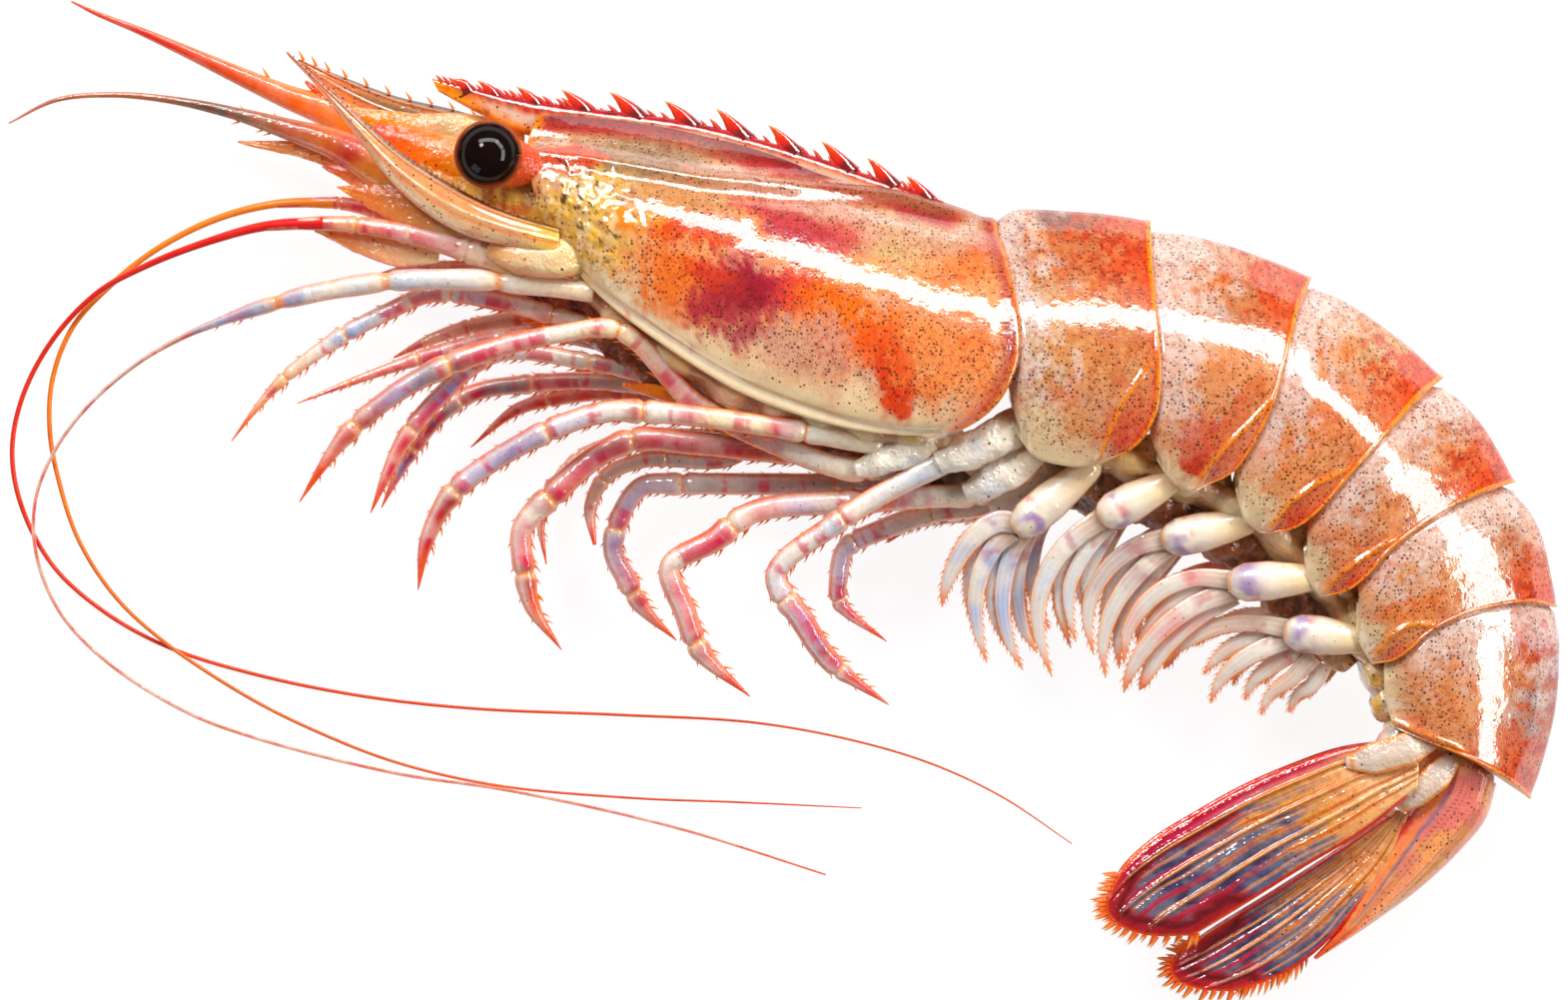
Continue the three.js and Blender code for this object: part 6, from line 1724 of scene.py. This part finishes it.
def addEye(side):
    # a ball with a raised dark rim, on a short orange stalk
    x, y = eye["place"]
    z = eye["plane"] + side * eye["aside"]
    globe = ball((x, y, z), (eye["radius"], eye["radius"], side * 0.93 * eye["radius"]), 44, 60)
    name = "eye_near" if side > 0 else "eye_far"
    addSolids(pieceName(name, "ball"), [(globe, skin(np.zeros(globe.shape)))], eyeFinish, [name])
    turn = np.linspace(0, 2 * math.pi, 80)[:, None]
    around = circle(14)[None]
    wide = eye["radius"] * 0.93 + 0.45 * np.cos(around)
    high = z + side * (0.95 + 0.45 * np.sin(around)) + 0 * turn
    collar = np.stack([x + wide * np.cos(turn), y + wide * np.sin(turn), high], -1)
    colour = coats(np.broadcast_to(tone(72, 22, 8), collar.shape), [
        ("black", ease(-0.3, 0.3, grain(collar, 1.4, 2, 3))),
        ("rust", 0.7 * ease(0.1, 0.9, np.cos(around)) * np.ones_like(turn)),
    ])
    addSolids(pieceName(name, "collar"), [(collar, skin(colour, 0.1))], collarFinish)
    inward = -1.2 * side
    stalk, facts = tube(
        [[x - 0.6, y + 0.2, z + inward * 1.1, 3.0], [x + 1.5, y - 0.6, z + inward * 1.6, 2.9],
         [x + 3.6, y - 1.1, z + inward * 2.2, 2.1], [x + 6, y - 1.6, z + inward * 3, 1.5]], 50, 30, 0.8
    )
    grid = facts["grid"]
    colour = coats(plain("yolk", stalk), [
        ("ember", 0.95 * ease(0.2, 0.5, grid + 0.2 * grain(stalk, 1.5, 2))),
        ("darkBrown", 0.9 * ease(0.12, 0.0, grid)),
    ])
    addSolids(pieceName(name, "stalk"), [(stalk, skin(colour, 0.4))], fleshFinish)


def bandedPaint(stops, edgeTone, edgeWeight, spots=0.2, seed=0):
    def paint(rings, facts, grid):
        colour = tonesAlong(stops, grid + 0.03 * grain(rings, 1.5, 2, seed))
        side = ease(0.8, 1.0, facts["rim"])
        colour = coats(colour, [
            (edgeTone, edgeWeight * side * ease(0.05, 0.2, grid)),
            ("milk", 0.25 * ease(0.2, 0.7, grain(rings, 1.4, 2, seed + 4))),
        ])
        return skin(colour, spots)
    return paint


# path with radius, then height over width, tones along and edge tone
headBlades = {
    "cheekLobe": (
        [[-19, 24.5, 13.2, 1.6], [-22.5, 24.2, 14, 2.1], [-26.5, 24.4, 14, 1.8], [-29.5, 25, 13.4, 0.9]],
        0.7, "0 yolk, 50 cream, 100 apricot", "amber"
    ),
    "underBlade1": (
        [[-24, 26.5, 12.6, 1], [-31, 27.6, 12.8, 2.6], [-38, 29.6, 12.4, 2.3], [-44.7, 31.3, 11.6, 0.1]],
        0.22, "0 cream, 50 apricot, 100 orange", "orange"
    ),
    "underBlade2": (
        [[-27, 28.5, 11.2, 1.2], [-35, 30.6, 11.4, 2.5], [-41, 32, 11, 1.7], [-46.2, 33.4, 10.4, 0.1]],
        0.22, "0 yolk, 50 paleOrange, 100 ember", "ember"
    ),
    "underBlade3": (
        [[-30, 30.4, 9.6, 1.3], [-39, 33.2, 9.6, 2.1], [-47, 34.9, 9.2, 1], [-54.7, 35.9, 8.6, 0.08]],
        0.25, "0 yolk, 40 paleOrange, 80 peach, 100 orange", "orange"
    ),
    "eyeBrow": (
        [[-26, 36.9, 8, 1], [-32, 37.1, 8.4, 1.7], [-38, 37.3, 8.2, 1.6], [-44, 39, 7.6, 0.9], [-48, 42, 7, 0.1]],
        0.5, "0 yolk, 35 sand, 60 amber, 100 ember", "orange"
    ),
    "eyeShelf": (
        [[-25, 32.2, 9.5, 2.2], [-30, 33.2, 9.8, 2.9], [-35.5, 34.8, 9.6, 2.2], [-41, 37, 9, 0.9]],
        0.7, "0 yolk, 45 amber, 75 orange, 100 ember", "orange"
    ),
    "peduncleFin": (
        [[-34.5, 24.4, 11, 0.6], [-38.5, 24.8, 10.8, 1.5], [-43, 26, 10.4, 1.1], [-47, 27, 9.8, 0.1]],
        0.18, "0 cream, 60 peach, 100 orange", "pink"
    ),
}


def addHead():
    head, facts = tube([
        [-21, 29.4, 9.55, 5.2], [-25.4, 30.4, 9.55, 4.6], [-29.5, 31.6, 9.55, 3.3],
        [-34, 33.6, 9.55, 1.9], [-37.5, 35.2, 9.55, 0.8],
    ], 90, 44, 0.8)
    height = 0.5 * grain(head, 1.8, 3, 2)
    head = head + ringNormals(head) * height[..., None]
    colour = coats(plain("yolk", head), [
        ("cream", ease(0, 0.6, grain(head, 2, 2, 5))),
        ("ember", 0.7 * ease(0.25, 0.6, grain(head, 2.4, 2, 15))),
    ])
    addSolids("headFlesh", [(head, skin(colour, 0.5))], fleshFinish, ["head"])
    for k, (name, (places, flat, stops, edgeTone)) in enumerate(headBlades.items()):
        rings, facts, _, painted = flatBlade(places, flat, bandedPaint(stops, edgeTone, 0.8, 0.12, k))
        height = 0.10 * grain(rings, 1.6, 2, k) + 0.05 * np.cos(facts["angle"] * 7)[None]
        rings = rings + ringNormals(rings) * height[..., None]
        addSolids(name, [(rings, painted)], fleshFinish)
    rows = addScale("antennal_scale_near", nearScale, (15, 14), 0.9, 2, 0.0, 46)
    addSpines("scaleBristles", rows, {
        "length": 0.5, "girth": 0.1, "hook": 0.08, "sides": 5, "steps": 3,
    }, darkBristleFinish)
    rows = addScale("antennal_scale_far", farScale, (2.6, 3.4), 0.8, 5, 1.0, 11)
    addSpines("scaleSpines", rows, {
        "length": 2.0, "girth": 0.34, "hook": 0.15, "sides": 6, "steps": 4,
    }, bristleFinish)


antennules = {
    "antennule_near": {
        "path": [
            [-31, 27.8, 10.6, 1.6], [-35, 29.8, 10.8, 2.3], [-40, 32.8, 10.8, 2.2], [-44.5, 35.4, 10.4, 1.6],
            [-49, 36.9, 10, 1.15], [-55, 38.7, 9.4, 0.65], [-61, 40, 8.6, 0.42], [-67, 40.6, 7.8, 0.3],
            [-73, 40.1, 6.8, 0.24], [-77.8, 37.8, 6, 0.1],
        ],
        "joints": [0.16, 0.3, 0.4], "bristle": 0.7, "bareSide": 0, "rim": 0.2,
        "tones": "0 yolk, 12 paleOrange, 24 amber, 28 red, 33 orange, 40 rust, 46 brown, 55 darkBrown, "
                 "72 brown, 88 brown, 100 mauve",
    },
    "antennule_far": {
        "path": [
            [-33, 31.2, 5.4, 1.3], [-36, 33.2, 5.8, 1.7], [-41, 36.3, 6.2, 1.9], [-45.5, 38.8, 6.6, 1.6],
            [-50, 40.5, 6.8, 1.2], [-55, 42.7, 7, 0.9], [-60, 45, 7, 0.62], [-65, 47.2, 7, 0.4],
            [-69, 48.8, 7, 0.26], [-71.5, 50, 7, 0.1],
        ],
        "joints": [0.2, 0.38], "bristle": 1.5, "bareSide": 1,
        "tones": "0 yolk, 20 amber, 40 orange, 58 flame, 80 red, 100 ember",
    },
}

antennae = {
    "antenna_near": {
        "finish": redWhipFinish, "bare": 7,
        "tones": "0 yolk, 20 cream, 40 pink, 50 magenta, 56 pink, 70 coral, 100 ember",
        "path": [
            [-22.9, 23.4, 11.6, 1.3], [-26, 23.5, 12, 1.75], [-30, 24.6, 12.4, 1.4], [-35, 26, 12.4, 1.15],
            [-40, 27.1, 12, 0.95], [-46, 27.7, 11, 0.72], [-52, 27.4, 9.6, 0.5], [-58, 25.8, 8, 0.4],
            [-64, 23.5, 6, 0.34], [-69, 20.8, 4, 0.3], [-73.5, 16.2, 2, 0.28], [-76.6, 10.5, 0.9, 0.27],
            [-77.7, 5, 0.5, 0.26], [-76.8, -0.5, 0.4, 0.26], [-73.6, -6.6, 0.4, 0.25],
            [-68.5, -11.2, 0.4, 0.25],
            [-62, -14.8, 0.4, 0.24], [-53, -17.6, 0.4, 0.24], [-42, -19.8, 0.4, 0.23], [-31, -21, 0.4, 0.22],
            [-17, -21.6, 0.4, 0.22], [-3, -22.4, 0.4, 0.2], [7, -24.2, 0.4, 0.19], [15, -26.6, 0.4, 0.18],
            [22, -29.9, 0.4, 0.17], [29, -34.6, 0.4, 0.1],
        ],
    },
    "antenna_far": {
        "finish": orangeWhipFinish, "bare": 5,
        "tones": "0 pink, 40 coralRed, 70 red, 100 ember",
        "path": [
            [-31.5, 25.9, 6.8, 1], [-36, 27.8, 7, 1.2], [-40, 28.9, 7, 1], [-45, 29.8, 6.8, 0.6],
            [-51, 29.7, 6.2, 0.42], [-57, 28.2, 5.2, 0.36], [-63, 25.2, 4.2, 0.32], [-68, 21.3, 3, 0.3],
            [-71.6, 17.3, 1.9, 0.28], [-73.6, 12.2, 1.2, 0.27], [-73.9, 7, 1, 0.26], [-73, 2, 1, 0.26],
            [-71, -4, 1, 0.25], [-67.4, -9.6, 1, 0.25], [-62.6, -14.1, 1, 0.24], [-54, -19.8, 1, 0.24],
            [-47, -23.3, 1, 0.23], [-39, -26.4, 1, 0.22], [-29, -28.7, 0.9, 0.21], [-15, -30, 0.7, 0.2],
            [-5, -30.4, 0.5, 0.18], [7.8, -31, 0.4, 0.1],
        ],
    },
}


def addAntennules():
    rows = []
    for k, (name, look) in enumerate(antennules.items()):
        rings, facts = tube(look["path"], 240, 20, 0.8)
        painted = paintLimb(rings, facts, dict(look, joints=[], pale=0.25, spot="red"), 70 + k)
        addSolids(pieceName(name, "flagellum"), [(rings, painted)], limbFinish, [name])
        rows += limbBristles(facts, dict(look, lastBristle=0.55), k, 1.8)
    addSpines("antennuleSpines", rows, {
        "length": 1.2, "girth": 0.16, "hook": 0.05, "sides": 5, "steps": 3,
    }, bristleFinish)


def addAntennae():
    for k, (name, look) in enumerate(antennae.items()):
        split = look["bare"]
        base, facts = tube(look["path"][:split], 120, 24, 0.9, jointSwell([0.3, 0.5, 0.68]))
        painted = paintLimb(base, facts, dict(look, joints=[0.3, 0.5, 0.68]), 90 + k)
        addSolids(pieceName(name, "stalk"), [(base, painted)], limbFinish, [name])
        addWhip(pieceName(name, "whip"), look["path"][split - 2:], 420, 10, look["finish"], [name])


print("head")
addEye(1)
addEye(-1)
addHead()
addAntennules()
addAntennae()

# floor, light and camera

stage = {
    "floorSize": 2.4, "floorTone": 0.15, "floorGlow": 0.9, "worldStrength": 0.1,
    "lens": 400.0, "sensor": 36.0, "frameWidth": 0.157, "focusHeight": 0.010,
    # softboxes: direction from the shrimp, size across and along, power
    "boxes": [
        {"name": "backBox", "from": (0.0, 0.74, 0.62), "size": (1.1, 0.23), "power": 7.6},
        {"name": "shoulderBox", "from": (0.56, 0.52, 0.62), "size": (0.5, 0.23), "power": 3.5},
        {"name": "tailBox", "from": (0.76, -0.02, 0.62), "size": (0.62, 0.23), "power": 3.9},
        {"name": "eyeBox", "from": (-0.45, 0.6, 0.9), "size": (0.22, 0.22), "power": 4.4},
        {"name": "lowBox", "from": (-0.7, -0.75, 0.4), "size": (0.5, 0.5), "power": 1.0},
    ],
}


def addStage():
    half = stage["floorSize"] / 2
    mesh = bpy.data.meshes.new("floor")
    corners = [(-half, -half, 0), (half, -half, 0), (half, half, 0), (-half, half, 0)]
    mesh.from_pydata(corners, [], [(0, 1, 2, 3)])
    floor = newObject("floor", mesh)
    pale = Finish("floorFinish")
    pale.feed(pale.mix(pale.noise(6), (stage["floorTone"],) * 3, (stage["floorTone"] + 0.01,) * 3))
    pale.give({
        "Roughness": 0.9, "Specular IOR Level": 0.1, "Emission Color": (1, 1, 1, 1),
        "Emission Strength": stage["floorGlow"],
    })
    mesh.materials.append(pale.material)
    world = bpy.data.worlds.new("studio")
    bpy.context.scene.world = world
    world.use_nodes = True
    background = world.node_tree.nodes["Background"]
    background.inputs["Color"].default_value = (1, 1, 1, 1)
    background.inputs["Strength"].default_value = stage["worldStrength"]
    for box in stage["boxes"]:
        light = bpy.data.lights.new(box["name"], "AREA")
        light.shape = "RECTANGLE"
        light.size, light.size_y = box["size"]
        light.energy = box["power"]
        lamp = newObject(box["name"], light)
        lamp.location = box["from"]
        aim = Vector((0.01, 0.0, 0.01)) - Vector(box["from"])
        lamp.rotation_euler = aim.to_track_quat("-Z", "Y").to_euler()


def addCamera():
    lens = bpy.data.cameras.new("topView")
    lens.lens = stage["lens"]
    lens.sensor_width = stage["sensor"]
    lens.clip_end = 20
    camera = newObject("topView", lens)
    away = stage["frameWidth"] * stage["lens"] / stage["sensor"]
    camera.location = (shift[0] * mm, shift[1] * mm, stage["focusHeight"] + away)
    bpy.context.scene.camera = camera
    bpy.context.scene.view_settings.view_transform = "Standard"


print("stage")
addStage()
addCamera()
